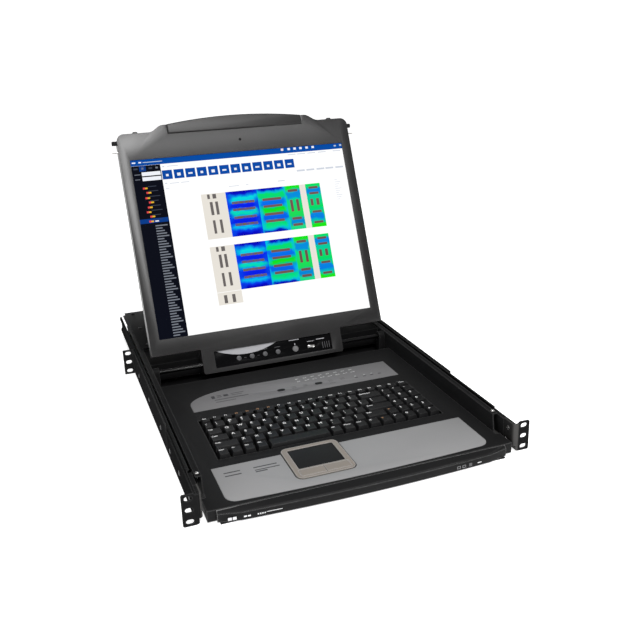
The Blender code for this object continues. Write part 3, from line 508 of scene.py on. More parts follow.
@dataclass(frozen=True)
class SolderMask:
    """Green board with copper tracks under the mask."""

    name: str
    colour: Colour

    def make(self) -> bpy.types.Material:
        """Build the material."""
        graph = Graph(self.name)
        settings = {"feature": "DISTANCE_TO_EDGE", "distance": "EUCLIDEAN"}
        cell = {"Vector": graph.place((1.0, 1.0, 0.2)), "Scale": 260.0}
        track = graph.add("ShaderNodeTexVoronoi", settings, cell) > 0.09
        colour = graph.between(track, shade(self.colour, 1.9), self.colour)
        return graph.finish({"Base Color": colour, "Roughness": 0.1 * track + 0.3,
                             "Normal": graph.relief(1 - track, 0.00004)})


class Finish(Enum):
    """Every finish on the console."""

    CHASSIS = Coat("chassis_powder_coat", (0.0095, 0.0095, 0.0098), 0.5, 1500.0, 0.00004,
                   0.3, 0.0, 0.5, 0.035, 0.5)
    FRAME = Coat("frame_powder_coat", (0.013, 0.013, 0.0133), 0.5, 1500.0, 0.00004,
                 0.3, 0.0, 0.5, 0.0, 0.5)
    EAR = Coat("ear_powder_coat", (0.011, 0.011, 0.0113), 0.5, 1500.0, 0.00004,
               0.3, 0.0, 0.5, 0.0, 0.3, bend_highlights=((220.5, 5.0), (-217.2, 1.8)))
    # The lip is the deck's moulding with a strong painted highlight along its edges.
    LIP = Coat("lip_moulding", (0.0115, 0.0115, 0.0118), 0.5, 1700.0, 0.00005,
               specular=0.06, edge_highlight=1.0, edge_highlight_tone=0.2)
    DECK = Coat("deck_moulding", (0.0115, 0.0115, 0.0118), 0.55, 1700.0, 0.00005,
                specular=0.06, edge_highlight=0.7)
    CASE = Coat("screen_case_moulding", (0.0125, 0.012, 0.0123), 0.32, 1900.0, 0.00002,
                specular=0.46, edge_highlight=0.12)
    GRIP = Coat("grip_moulding", (0.0125, 0.012, 0.012), 0.4, 1300.0, 0.00005,
                specular=0.36, edge_highlight=0.2)
    KEY = Coat("key_moulding", (0.0075, 0.0075, 0.008), 0.45, 2200.0, 0.00003,
               specular=0.14, edge_highlight=0.3, edge_highlight_tone=0.06)
    GLOSS = Coat("strip_gloss", (0.004, 0.004, 0.0044), 0.22, 2600.0, 0.000004, specular=0.02)
    PAD = Coat("touchpad_film", (0.013, 0.0135, 0.014), 0.5, 2600.0, 0.00003, specular=0.08)
    UPPER = Coat("upper_panel_paint", (0.165, 0.163, 0.166), 0.5, 1200.0, 0.00002, 0.08,
                 specular=0.25)
    WRIST = Coat("wrist_panel_paint", (0.275, 0.274, 0.277), 0.5, 1200.0, 0.00002, 0.06,
                 specular=0.25)
    CHAMPAGNE = Coat("touchpad_champagne", (0.235, 0.208, 0.182), 0.4, 1600.0, 0.00002, 0.07,
                     0.0, 0.2, 0.2, 0.5, 0.6)
    BUTTON = Coat("button_grey", (0.12, 0.12, 0.125), 0.3, 1800.0, 0.00001, 0.15, 0.3)
    HOUSING = Coat("socket_housing", (0.01, 0.01, 0.011), 0.45, 1500.0, 0.00003)
    # Near-black for the display module, and painted shade in the slots and holes.
    GASKET = Coat("black_and_painted_shade", (0.003, 0.003, 0.003), 0.8, specular=0.03)
    INSERT = Coat("port_insert_blue", (0.02, 0.05, 0.22), 0.5, 1600.0, 0.00002, specular=0.4)
    ZINC = Plating("zinc_plate", (0.58, 0.58, 0.57), 0.3)
    NICKEL = Plating("nickel_plate", (0.74, 0.73, 0.71), 0.2, (0.05, 1.0, 1.0))
    DARK_STEEL = Plating("blackened_steel", (0.035, 0.035, 0.036), 0.4)
    LEGEND = Print("legend_white", (0.82, 0.82, 0.82))
    LEGEND_AMBER = Print("legend_amber", (0.45, 0.24, 0.11))
    INK = Print("panel_ink", (0.03, 0.03, 0.033))
    FAINT_INK = Print("panel_ink_faint", (0.05, 0.05, 0.053))
    PALE_INK = Print("panel_ink_pale", (0.72, 0.72, 0.73))
    SILVER_INK = Print("silver_ink", (0.42, 0.42, 0.44), 0.3)
    SYMBOL_INK = Print("symbol_ink", (0.16, 0.16, 0.165))
    # Lighter, glossier copy of the blackened steel for the left shaft: painted highlight.
    ROD = Plating("shaft_steel_painted_highlight", (0.075, 0.075, 0.075), 0.2, (0.05, 1.0, 1.0))
    BOARD = SolderMask("solder_mask", (0.01, 0.09, 0.04))
    PAGE = Lit("page_white", (1.0, 1.0, 1.0), 1.06, 0.01)
    TITLE_BLUE = Lit("title_blue", (0.0, 0.071, 0.38))
    TILE_BLUE = Lit("tile_blue", (0.001, 0.075, 0.42), 1.0, 0.12)
    NAVY = Lit("sidebar_navy", (0.0024, 0.0035, 0.010), 1.0, 0.2)
    ROW_BLUE = Lit("row_blue", (0.0015, 0.045, 0.26))
    PIC_WHITE = Lit("picture_white", (0.9, 0.93, 1.0))
    PIC_GREY = Lit("picture_grey", (0.20, 0.22, 0.26))
    PIC_DIM = Lit("picture_dim", (0.045, 0.055, 0.08))
    PIC_LINE = Lit("picture_line", (0.52, 0.61, 0.72))
    PIC_FAINT = Lit("picture_faint", (0.66, 0.70, 0.78))
    PIC_STONE = Lit("picture_stone", (0.84, 0.80, 0.73))
    PIC_PINK = Lit("picture_pink", (0.93, 0.78, 0.75))
    PIC_CABINET = Lit("picture_cabinet", (0.15, 0.135, 0.13))
    PIC_RACK = Lit("picture_rack", (0.21, 0.115, 0.10), 1.0, 0.25)
    PIC_RED = Lit("picture_red", (0.80, 0.07, 0.08))
    PIC_AMBER = Lit("picture_amber", (0.85, 0.50, 0.03))
    MIXED_RACK = Patches("mixed_rack", (
        (0.0, (0.19, 0.10, 0.07)), (0.35, (0.15, 0.13, 0.09)), (0.6, (0.10, 0.06, 0.38)),
        (0.85, (0.20, 0.16, 0.06)), (1.0, (0.25, 0.09, 0.09))), 190.0)
    HEAT_COLD = HeatMap("heat_cold", -38.0, 17.0, (
        (0, (0.0, 0.0, 0.42)), (5, (0.0, 0.002, 0.62)), (9, (0.0, 0.05, 0.85)),
        (14, (0.0, 0.52, 0.84)), (18, (0.0, 0.16, 0.84)), (22, (0.0, 0.01, 0.78)),
        (30, (0.0, 0.015, 0.85)), (34, (0.0, 0.35, 0.80)), (38, (0.0, 0.72, 0.42)),
        (42, (0.0, 0.68, 0.60)), (46, (0.0, 0.14, 0.84)), (50, (0.0, 0.008, 0.80)),
        (56, (0.0, 0.02, 0.88)), (60, (0.0, 0.60, 0.80)), (66, (0.0, 0.74, 0.72)),
        (70, (0.0, 0.26, 0.82)), (74, (0.0, 0.004, 0.60)), (78, (0.0, 0.0, 0.38))),
        (0.0, 0.055, 0.82), 0.55)
    HEAT_MILD = HeatMap("heat_mild", 17.0, 68.0, (
        (0, (0.0, 0.0, 0.40)), (3, (0.0, 0.01, 0.55)), (6, (0.0, 0.50, 0.70)),
        (9, (0.0, 0.74, 0.32)), (16, (0.0, 0.72, 0.16)), (20, (0.0, 0.40, 0.60)),
        (23, (0.0, 0.11, 0.82)), (30, (0.0, 0.13, 0.83)), (34, (0.0, 0.60, 0.20)),
        (37, (0.01, 0.76, 0.01)), (42, (0.0, 0.74, 0.02)), (46, (0.0, 0.35, 0.60)),
        (49, (0.0, 0.14, 0.84)), (56, (0.0, 0.18, 0.85)), (60, (0.0, 0.68, 0.20)),
        (68, (0.0, 0.74, 0.14)), (72, (0.0, 0.50, 0.66)), (75, (0.0, 0.01, 0.62)),
        (78, (0.0, 0.0, 0.36))), (0.0, 0.52, 0.80), 0.72)
    HEAT_WARM = HeatMap("heat_warm", 68.0, 96.0, (
        (0, (0.0, 0.70, 0.26)), (5, (0.02, 0.74, 0.22)), (9, (0.0, 0.35, 0.55)),
        (13, (0.0, 0.22, 0.70)), (18, (0.0, 0.30, 0.64)), (24, (0.01, 0.70, 0.10)),
        (34, (0.01, 0.74, 0.10)), (52, (0.0, 0.70, 0.26)), (57, (0.0, 0.28, 0.72)),
        (65, (0.0, 0.26, 0.74)), (70, (0.01, 0.60, 0.30)), (73, (0.01, 0.80, 0.01)),
        (78, (0.0, 0.78, 0.01))), (0.01, 0.70, 0.16), 0.8)
    HEAT_SIDE = HeatMap("heat_side", 106.0, 134.0, (
        (0, (0.01, 0.80, 0.0)), (5, (0.01, 0.78, 0.01)), (8, (0.0, 0.60, 0.30)),
        (12, (0.0, 0.50, 0.52)), (17, (0.0, 0.20, 0.78)), (25, (0.0, 0.24, 0.74)),
        (29, (0.0, 0.62, 0.30)), (36, (0.0, 0.72, 0.12)), (50, (0.0, 0.66, 0.28)),
        (58, (0.0, 0.60, 0.36)), (62, (0.0, 0.26, 0.76)), (69, (0.0, 0.22, 0.76)),
        (73, (0.0, 0.70, 0.20)), (78, (0.0, 0.76, 0.10))), (0.01, 0.70, 0.14), 0.85)
    LAMP_OFF = Print("lamp_lens", (0.50, 0.52, 0.50), 0.15)

    def material(self) -> bpy.types.Material:
        """The finish's material, made the first time that it is asked for."""
        name = self.value.name
        return bpy.data.materials.get(name) or self.value.make()


def mount(piece: bpy.types.Object, body: str, *nodes: str) -> None:
    """Let a piece ride on a body, and stand it in for CAD nodes.

    Args:
        piece: The piece.
        body: The body that carries it.
        nodes: The CAD nodes that it stands for.
    """
    if nodes:
        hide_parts(*nodes)
    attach(piece, body)
    LOG.info("%s: %d faces on %s", piece.name, len(piece.data.polygons), body)


# ------------------------------------------------------------------ modelling bench


class Bench:
    """Modelling steps shared by every sub-assembly."""

    @staticmethod
    def clear() -> None:
        """Leave edit mode and deselect everything."""
        if bpy.context.mode != "OBJECT":
            bpy.ops.object.mode_set(mode="OBJECT")
        bpy.ops.object.select_all(action="DESELECT")

    @staticmethod
    def pick(item: bpy.types.Object) -> None:
        """Make the object the only one selected, and the active one.

        Args:
            item: The object.
        """
        Bench.clear()
        item.select_set(True)
        bpy.context.view_layer.objects.active = item

    @staticmethod
    def edit(item: bpy.types.Object, selected: bool = True) -> None:
        """Open an object in edit mode.

        Args:
            item: The object.
            selected: Whether all of it starts selected.
        """
        Bench.pick(item)
        bpy.ops.object.mode_set(mode="EDIT")
        bpy.ops.mesh.select_mode(type="FACE")
        bpy.ops.mesh.select_all(action="SELECT" if selected else "DESELECT")

    @staticmethod
    def choose_faces(item: bpy.types.Object, test: FaceTest) -> None:
        """Select the faces that pass a test, and go back to edit mode.

        Args:
            item: The object that is being edited.
            test: Says whether a face is wanted.
        """
        bpy.ops.object.mode_set(mode="OBJECT")
        mesh = item.data
        for part in (*mesh.vertices, *mesh.edges):
            part.select = False
        for face in mesh.polygons:
            face.select = test(face)
        bpy.ops.object.mode_set(mode="EDIT")

    @staticmethod
    def close() -> None:
        """Go back to object mode."""
        bpy.ops.object.mode_set(mode="OBJECT")

    @staticmethod
    def coat(item: bpy.types.Object, material: bpy.types.Material) -> None:
        """Give an object one material in place of what it had.

        Args:
            item: The object.
            material: The material.
        """
        item.data.materials.clear()
        item.data.materials.append(material)

    @staticmethod
    def settle(item: bpy.types.Object, name: str, finish: Finish | None,
               matrix: Matrix | None = None) -> bpy.types.Object:
        """Name a piece, dress it and move its place into its mesh.

        Args:
            item: The piece.
            name: Its name.
            finish: Its finish, or None for a piece that is coated afterwards.
            matrix: A placing to apply after its own.

        Returns:
            The piece.
        """
        if matrix is not None:
            item.matrix_world = matrix @ item.matrix_world
        Bench.pick(item)
        bpy.ops.object.transform_apply(location=True, rotation=True, scale=True)
        item.name = name
        item.data.name = name
        if finish is not None:
            Bench.coat(item, finish.material())
        return item

    @staticmethod
    def ease(item: bpy.types.Object, width: float, segments: int = 2, angle: float = 30.0) -> None:
        """Round the edges with a Bevel modifier, apply it, and shade by angle.

        Args:
            item: The piece.
            width: The bevel's width in metres.
            segments: Its segments.
            angle: Edges sharper than this many degrees are rounded.
        """
        Bench.pick(item)
        bevel = item.modifiers.new("ease", "BEVEL")
        bevel.width = width
        bevel.segments = segments
        bevel.limit_method = "ANGLE"
        bevel.angle_limit = math.radians(angle)
        bevel.use_clamp_overlap = True
        bpy.ops.object.modifier_apply(modifier=bevel.name)
        bpy.ops.object.shade_smooth_by_angle(angle=SMOOTH_ANGLE)

    @staticmethod
    def blocks(name: str, boxes: Iterable[tuple[Vector, Vector]]) -> bpy.types.Object:
        """One object of boxes.

        Args:
            name: A working name.
            boxes: Lowest and highest corner of each box.

        Returns:
            The object, left in object mode.
        """
        Bench.clear()
        item = None
        for low, high in boxes:
            middle, size = (low + high) / 2, high - low
            bpy.ops.mesh.primitive_cube_add(size=1.0, location=middle, scale=size)
            if item is None:
                item = bpy.context.active_object
                bpy.ops.object.transform_apply(location=True, rotation=True, scale=True)
                bpy.ops.object.mode_set(mode="EDIT")
        Bench.close()
        item.name = name
        return item

    @staticmethod
    def round_block(name: str, low: Vector, high: Vector, finish: Finish, width: float,
                    matrix: Matrix | None = None) -> bpy.types.Object:
        """A box with rounded edges.

        Args:
            name: The piece's name.
            low: Its lowest corner.
            high: Its highest corner.
            finish: Its finish.
            width: Rounding of its edges.
            matrix: A placing to apply after its own.

        Returns:
            The piece.
        """
        item = Bench.blocks(name, [(low, high)])
        Bench.ease(item, width)
        return Bench.settle(item, name, finish, matrix)

    @staticmethod
    def turned(name: str, centre: Vector, axis: Vector, rings: Sequence[tuple[float, float]],
               finish: Finish, sides: int = 20, matrix: Matrix | None = None) -> bpy.types.Object:
        """A turned piece: a disc extruded and scaled ring by ring along an axis.

        Args:
            name: The piece's name.
            centre: Where the profile's zero lies.
            axis: The direction of the profile.
            rings: Radius and distance along the axis of each ring, in millimetres.
            finish: Its finish.
            sides: Its sides.
            matrix: A placing to apply after its own.

        Returns:
            The piece.
        """
        Bench.clear()
        radius, start = rings[0]
        bpy.ops.mesh.primitive_circle_add(vertices=sides, radius=radius * MM, fill_type="NGON",
                                          location=(0.0, 0.0, start * MM))
        item = bpy.context.active_object
        bpy.ops.object.mode_set(mode="EDIT")
        bpy.ops.mesh.select_all(action="SELECT")
        for (was, low), (now, high) in zip(rings, rings[1:]):
            move = {"value": (0.0, 0.0, (high - low) * MM)}
            bpy.ops.mesh.extrude_region_move(TRANSFORM_OT_translate=move)
            ratio = now / was
            bpy.ops.transform.resize(value=(ratio, ratio, 1.0))
        bpy.ops.mesh.select_all(action="SELECT")
        bpy.ops.mesh.normals_make_consistent(inside=False)
        Bench.close()
        turn = Vector((0.0, 0.0, 1.0)).rotation_difference(axis.normalized())
        placing = Matrix.Translation(centre) @ turn.to_matrix().to_4x4()
        if matrix is not None:
            placing = matrix @ placing
        Bench.settle(item, name, finish, placing)
        bpy.ops.object.shade_smooth_by_angle(angle=TURNED_SMOOTH_ANGLE)
        return item

    @staticmethod
    def join(name: str, items: Sequence[bpy.types.Object]) -> bpy.types.Object:
        """Join objects into one, keeping their materials.

        Args:
            name: The joined piece's name.
            items: The objects.

        Returns:
            The joined piece.
        """
        Bench.pick(items[0])
        for item in items:
            item.select_set(True)
        bpy.ops.object.join()
        items[0].name = name
        items[0].data.name = name
        return items[0]

    @staticmethod
    def eased_copy(node: str, name: str, finish: Finish, width: float, segments: int = 2,
                   angle: float = 30.0) -> None:
        """Stand in for a CAD node with a copy of it whose edges are rounded.

        Args:
            node: The CAD node.
            name: The new piece's name.
            finish: Its finish.
            width: Rounding of its edges.
            segments: Steps in the rounding.
            angle: Edges sharper than this many degrees are rounded.
        """
        source = frame["nodes"][node]
        item = bpy.data.objects.new(name, source.data.copy())
        bpy.context.scene.collection.objects.link(item)
        Bench.edit(item)
        bpy.ops.mesh.remove_doubles(threshold=WELD)
        bpy.ops.mesh.dissolve_limited(angle_limit=math.radians(0.5))
        bpy.ops.mesh.normals_make_consistent(inside=False)
        Bench.close()
        Bench.ease(item, width, segments, angle)
        mount(Bench.settle(item, name, finish), source["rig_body"], node)

    @staticmethod
    def eased_copies(*rows: tuple[Any, ...]) -> None:
        """Stand in for several CAD nodes.

        Args:
            rows: What eased_copy takes, for each node.
        """
        for row in rows:
            Bench.eased_copy(*row)

    @staticmethod
    def legend(text: str, spot: Vector, size: float) -> bpy.types.Object:
        """Flat printed characters as a mesh.

        Args:
            text: The characters.
            spot: The lower left corner of their first line.
            size: Their size in metres.

        Returns:
            The mesh object.
        """
        Bench.clear()
        bpy.ops.object.text_add(location=spot)
        item = bpy.context.active_object
        item.data.body = text
        item.data.size = size
        item.data.resolution_u = 2
        item.data.extrude = 0.00002
        item.data.offset = 0.02 * size
        bpy.ops.object.convert(target="MESH")
        return bpy.context.active_object


def corner(x: float, y: float, z: float) -> Vector:
    """A point from millimetres."""
    return Vector((x, y, z)) * MM


def fit_blocks(name: str, boxes: Iterable[tuple[Vector, Vector]], finish: Finish, body: str,
               width: float = INK_EDGE, segments: int = 1, matrix: Matrix | None = None) -> None:
    """Make boxes one piece with eased edges, and mount it.

    Args:
        name: The piece's name.
        boxes: Lowest and highest corner of each box.
        finish: Its finish.
        body: The body that carries it.
        width: Rounding of its edges, or 0 for none.
        segments: Steps in the rounding.
        matrix: A placing to apply after its own.
    """
    item = Bench.blocks(name, boxes)
    if width:
        Bench.ease(item, width, segments)
    mount(Bench.settle(item, name, finish, matrix), body)


# ------------------------------------------------------------------ rack frame


@dataclass
class RackFrame:
    """Front ears, rear brackets and slides, with their fasteners."""

    steel: float = 2.0
    ear_bend: float = 0.0005
    rail_bend: float = 0.0004
    slide_bend: float = 0.0003
    leg_head: tuple[float, float] = (3.2, 0.45)
    arm_head: tuple[float, float] = (3.6, 1.5)
    leg_screws: tuple[tuple[float, float], ...] = ((12.5, 31.6), (15.0, 13.5))
    front_arm_screws: tuple[float, ...] = (34.0, 96.0, 160.0)
    front_arm_height: float = 19.0
    rear_arm_screws: tuple[float, ...] = (230.0, 330.0, 430.0)
    rear_arm_height: float = 22.0
    stop_blocks: tuple[Rect, ...] = ((216.0, 222.2, 24.6, 56.6), (218.3, 222.3, 4.0, 24.8))
    stop_height: tuple[float, float] = (12.0, 40.0)

    def build(self) -> None:
        """Make both sides."""
        for side, hand in ((-1, "left"), (1, "right")):
            self.sheet_metal(hand)
            self.screws(side, hand)
            self.stop(side, hand)

    def sheet_metal(self, hand: str) -> None:
        """Ease the bent steel and the slide members of one side.

        Args:
            hand: "left" or "right".
        """
        for node, name, finish, bend in (
                ("front_ear", "ear_plate", Finish.EAR, self.ear_bend),
                ("rear_bracket", "depth_bracket", Finish.FRAME, self.ear_bend),
                ("outer_rail", "outer_channel", Finish.FRAME, self.rail_bend),
                ("middle_rail", "middle_channel", Finish.DARK_STEEL, self.slide_bend),
                ("inner_rail", "inner_channel", Finish.DARK_STEEL, self.slide_bend)):
            Bench.eased_copy(f"{hand}_{node}", f"{hand}_{name}", finish, bend)

    def screws(self, side: int, hand: str) -> None:
        """Flush screws in the ear's leg, and pan heads along the arms.

        Args:
            side: -1 for the left and 1 for the right.
            hand: "left" or "right".
        """
        outwards = Vector((side, 0.0, 0.0))
        leg_face = min(abs(point.x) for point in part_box(f"{hand}_front_ear")) / MM
        arm_face = min(abs(point.x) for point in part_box(f"{hand}_rear_bracket")) / MM + self.steel
        small, large = Fastener(*self.leg_head), Fastener(*self.arm_head)
        heads = [small.build(corner(side * leg_face, y, z), -outwards, Finish.NICKEL)
                 for y, z in self.leg_screws]
        mount(Bench.join(f"{hand}_leg_screws", heads), "rack_frame")
        for name, body, z, places in (
                ("arm", "rack_frame", self.front_arm_height, self.front_arm_screws),
                ("bracket", f"{hand}_rear_bracket", self.rear_arm_height, self.rear_arm_screws)):
            heads = [large.build(corner(side * arm_face, y, z), outwards, Finish.DARK_STEEL)
                     for y in places]
            mount(Bench.join(f"{hand}_{name}_screws", heads), body)

    def stop(self, side: int, hand: str) -> None:
        """Moulded stop that closes the front of the slide, between the leg and the rail.

        Args:
            side: -1 for the left and 1 for the right.
            hand: "left" or "right".
        """
        blocks = []
        for near_x, far_x, near_y, far_y in self.stop_blocks:
            left, right = sorted((side * near_x, side * far_x))
            low = corner(left, near_y, self.stop_height[0])
            high = corner(right, far_y, self.stop_height[1])
            blocks.append(Bench.round_block("block", low, high, Finish.FRAME, 0.0007))
        mount(Bench.join(f"{hand}_slide_stop", blocks), "rack_frame")


@dataclass
class Fastener:
    """Pan-head screw with a round, sunk recess; sizes in millimetres."""

    radius: float
    height: float

    def build(self, seat: Vector, axis: Vector, finish: Finish) -> bpy.types.Object:
        """Turn the head and sink its recess.

        Args:
            seat: The point under the head.
            axis: The direction in which the head stands out.
            finish: Its finish.

        Returns:
            The screw head.
        """
        r, h = self.radius, self.height
        rings = [(r, 0.0), (r, 0.45 * h), (0.86 * r, 0.85 * h), (0.55 * r, h), (0.3 * r, h),
                 (0.16 * r, 0.35 * h)]
        return Bench.turned("head", seat, axis, rings, finish, 16)


# ------------------------------------------------------------------ drawer


@dataclass
class Drawer:
    """Tray, deck, plates, pull lip and what is fitted to them."""

    lamp_first_x: float = 11.0
    lamp_pitch: float = 13.4
    lamp_columns: int = 8
    lamp_rows: tuple[float, ...] = (318.0, 308.0)
    state_lamps: tuple[float, ...] = (104.0, 120.0, 133.0)
    lip_bow: float = 7.5

    def build(self) -> None:
        """Make the whole drawer."""
        self.metal_and_mouldings()
        self.lamps()
        self.prints()
        self.lip_marks()
        self.touchpad()
        self.fittings()

    def metal_and_mouldings(self) -> None:
        """Ease the tray, the deck, the lip and the plates."""
        Bench.eased_copies(
            ("drawer_tray", "tray", Finish.CHASSIS, 0.0003),
            ("keyboard_deck", "deck", Finish.DECK, 0.0006, 3),
            ("front_handle", "pull_lip", Finish.LIP, 0.0010, 3),
            ("upper_panel", "upper_plate", Finish.UPPER, 0.00012),
            ("wrist_panel", "wrist_plate", Finish.WRIST, 0.00012),
            ("previous_port_button", "previous_port_button_cap", Finish.KEY, 0.0004, 3),
            ("next_port_button", "next_port_button_cap", Finish.KEY, 0.0004, 3))

    def lamps(self) -> None:
        """Two rows of port lamps with their numbers, and three state lamps."""
        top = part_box("upper_panel")[1].z / MM
        lenses, numbers = [], []
        for row, y in enumerate(self.lamp_rows):
            for column in range(self.lamp_columns):
                x = self.lamp_first_x + self.lamp_pitch * column
                low, high = corner(x - 1.6, y - 0.8, top - 0.2), corner(x + 1.6, y + 0.8, top + 0.3)
                lenses.append((low, high))
                number = str(row * self.lamp_columns + column + 1)
                numbers.append(Bench.legend(number, corner(x + 2.4, y - 0.4, top + 0.02), 3.4 * MM))
        for x in self.state_lamps:
            lenses.append((corner(x - 1.5, 289.4, top - 0.2), corner(x + 1.5, 290.8, top + 0.3)))
        fit_blocks("port_lamps", lenses, Finish.LAMP_OFF, "drawer", 0.00018, 2)
        printed = Bench.settle(Bench.join("port_numbers", numbers), "port_numbers", Finish.PALE_INK)
        mount(printed, "drawer")

    def prints(self) -> None:
        """Plain ruled marks where the plates carry print."""
        dark = [(-133.0, -127.6, 301.5, 311.0), (-113.5, -106.0, 303.5, 310.5),
                (-124.0, -117.0, 303.5, 305.5), (-124.0, -117.0, 308.5, 310.5)]
        self.printed("upper_mark", "upper_panel", dark, Finish.INK)
        rules = [(-101.0, -80.0, 308.6, 310.6), (-101.0, -84.0, 303.0, 304.8),
                 (-130.0, -76.0, 294.0, 296.4), (-130.0, -98.0, 286.0, 288.0)]
        for x in (-2.0, 17.0, 61.0, 81.0):
            rules += [(x - 3.6, x + 3.6, 291.6, 292.8), (x - 3.6, x + 3.6, 287.6, 288.8)]
        rules += [(x - 5.0, x + 5.0, 279.6, 280.6) for x in (-24.0, -3.0, 61.0)]
        rules += [(x - 2.6, x + 2.6, 283.0, 286.0) for x in (104.0, 118.5, 131.0, 145.0)]
        self.printed("upper_rules", "upper_panel", rules, Finish.FAINT_INK)
        lines = [(-172.0, -150.0, 73.0, 75.4), (-172.0, -150.0, 65.0, 67.4),
                 (-132.0, -100.0, 72.2, 74.6), (-132.0, -98.0, 65.4, 67.4),
                 (-132.0, -116.0, 60.8, 63.4)]
        self.printed("wrist_rules", "wrist_panel", lines, Finish.FAINT_INK)

    def lip_marks(self) -> None:
        """Blank badge and rules at the left of the lip's front, symbols and lamp at the right."""
        badge = [self.lip_mark(-187.0, 4.6, 3.8), self.lip_mark(-181.2, 4.6, 3.8)]
        badge += [self.lip_mark(x, 3.6, 1.9) for x in (-168.0, -163.2)]
        badge += [self.lip_mark(x, 1.6, 1.8) for x in (-152.0, -149.2, -146.4, -143.6)]
        badge += [self.lip_mark(x, 6.6, 0.7, 0.8) for x in (-138.0, -131.5, -125.0)]
        mount(Bench.join("lip_badge", badge), "drawer")
        rules = [self.lip_mark(x, 5.0, 0.8, rise) for x in (123.0, 131.0) for rise in (-1.6, 1.6)]
        rules += [self.lip_mark(x, 0.9, 3.6) for x in (120.8, 125.2, 128.8, 133.2)]
        rules += [self.lip_mark(141.0, 4.6, 0.8, rise) for rise in (-1.6, 0.0, 1.6)]
        mount(Bench.join("lip_symbols", [self.inked(rule) for rule in rules]), "drawer")
        mount(Bench.join("lip_lamp", [self.lip_mark(155.0, 6.0, 1.1)]), "drawer")

    @staticmethod
    def inked(mark: bpy.types.Object) -> bpy.types.Object:
        """The mark in the fainter ink."""
        mark.data.materials[0] = Finish.SYMBOL_INK.material()
        return mark

    def lip_mark(self, x: float, wide: float, tall: float, rise: float = 0.0) -> bpy.types.Object:
        """One raised mark on the bowed front of the lip, turned to follow the bow.

        Args:
            x: Its middle, in millimetres.
            wide: Its width.
            tall: Its height.
            rise: How far it stands above the middle line.

        Returns:
            The mark.
        """
        low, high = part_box("front_handle")
        half = (high.x - low.x) / 2 / MM
        bow = self.lip_bow * (1 - (x / half) ** 2)
        face = low.y / MM + self.lip_bow - bow
        lean = math.atan(2 * self.lip_bow * x / half ** 2)
        placing = Matrix.Translation(corner(x, face, 6.2 + rise)) @ Matrix.Rotation(lean, 4, "Z")
        return Bench.round_block("mark", corner(-wide / 2, -0.05, -tall / 2),
                                 corner(wide / 2, 0.3, tall / 2), Finish.PALE_INK, 0.00002, placing)

    @staticmethod
    def printed(name: str, plate: str, rects: Sequence[Rect], finish: Finish) -> None:
        """Printed marks on a plate's top as one piece.

        Args:
            name: The piece's name.
            plate: The CAD node that they lie on.
            rects: Left, right, front and rear edge of each mark.
            finish: The ink.
        """
        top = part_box(plate)[1].z / MM
        marks = [(corner(left, front, top - 0.01), corner(right, rear, top + 0.03))
                 for left, right, front, rear in rects]
        fit_blocks(name, marks, finish, "drawer")

    def touchpad(self) -> None:
        """Surround, film and two buttons."""
        Bench.eased_copies(
            ("touchpad_frame", "pad_surround", Finish.CHAMPAGNE, 0.0007, 3),
            ("touchpad", "pad_film", Finish.PAD, 0.0002),
            ("left_pad_button", "left_pad_key", Finish.CHAMPAGNE, 0.0005, 3),
            ("right_pad_button", "right_pad_key", Finish.CHAMPAGNE, 0.0005, 3))

    def fittings(self) -> None:
        """Studs, hinge uprights and key plate."""
        for hand in ("left", "right"):
            Bench.eased_copies(
                (f"{hand}_flange_stud", f"{hand}_stud", Finish.NICKEL, 0.0001),
                (f"{hand}_hinge_bracket", f"{hand}_hinge_upright", Finish.CHASSIS, 0.0006))
        Bench.coat(frame["nodes"]["key_plate"], Finish.DARK_STEEL.material())


# ------------------------------------------------------------------ keyboard


@dataclass
class KeyRow:
    """One row of keys: widths in units, legends, and which key travels alone."""

    node: str
    widths: tuple[float, ...]
    legends: tuple[str, ...]
    single: int | None = None
    single_node: str = ""
    amber: tuple[int, ...] = ()


NUMBER_PAD = (0.965,) * 3
KEY_ROWS: tuple[KeyRow, ...] = (
    KeyRow("bottom_key_row", (0.96,) * 4 + (4.79,) + (1.026,) * 6 + NUMBER_PAD,
           ("Ctrl", "Fn", "Sys", "Alt", "", "Alt", "Menu", "Ctrl", "<", "v", ">",
            "0", ".", "+"), 4, "space_bar", (9,)),
    KeyRow("shift_key_row", (2.0,) + (1.0,) * 10 + (1.79, 1.0) + NUMBER_PAD,
           ("Shift", *"ZXCVBNM", "<\n,", ">\n.", "?\n/", "Shift", "^", "1", "2", "3"),
           0, "left_shift_key", (12,)),
    KeyRow("home_key_row", (1.5,) + (1.0,) * 11 + (2.29,) + NUMBER_PAD,
           ("Caps", *"ASDFGHJKL", ":\n;", "\"\n'", "Enter", "4", "5", "6"), 12, "enter_key"),
    KeyRow("letter_key_row", (1.26,) + (1.0,) * 12 + (1.53,) + NUMBER_PAD,
           ("Tab", *"QWERTYUIOP", "{\n[", "}\n]", "|\n\\", "7", "8", "9")),
    KeyRow("number_key_row", (0.79,) + (1.0,) * 12 + (2.0,) + NUMBER_PAD,
           ("~\n`", "!\n1", "@\n2", "#\n3", "$\n4", "%\n5", "^\n6", "&\n7", "*\n8", "(\n9",
            ")\n0", "_\n-", "+\n=", "Backspace", "/", "*", "-")),
    KeyRow("function_key_row", (0.87,) * 17 + NUMBER_PAD,
           ("Esc", "F1", "F2", "F3", "F4", "F5", "F6", "F7", "F8", "F9", "F10", "F11", "F12",
            "Prt", "Scr", "Brk", "Ins", "Hm", "Pg", "Num"), None, "", (3, 4, 5, 6)),
)


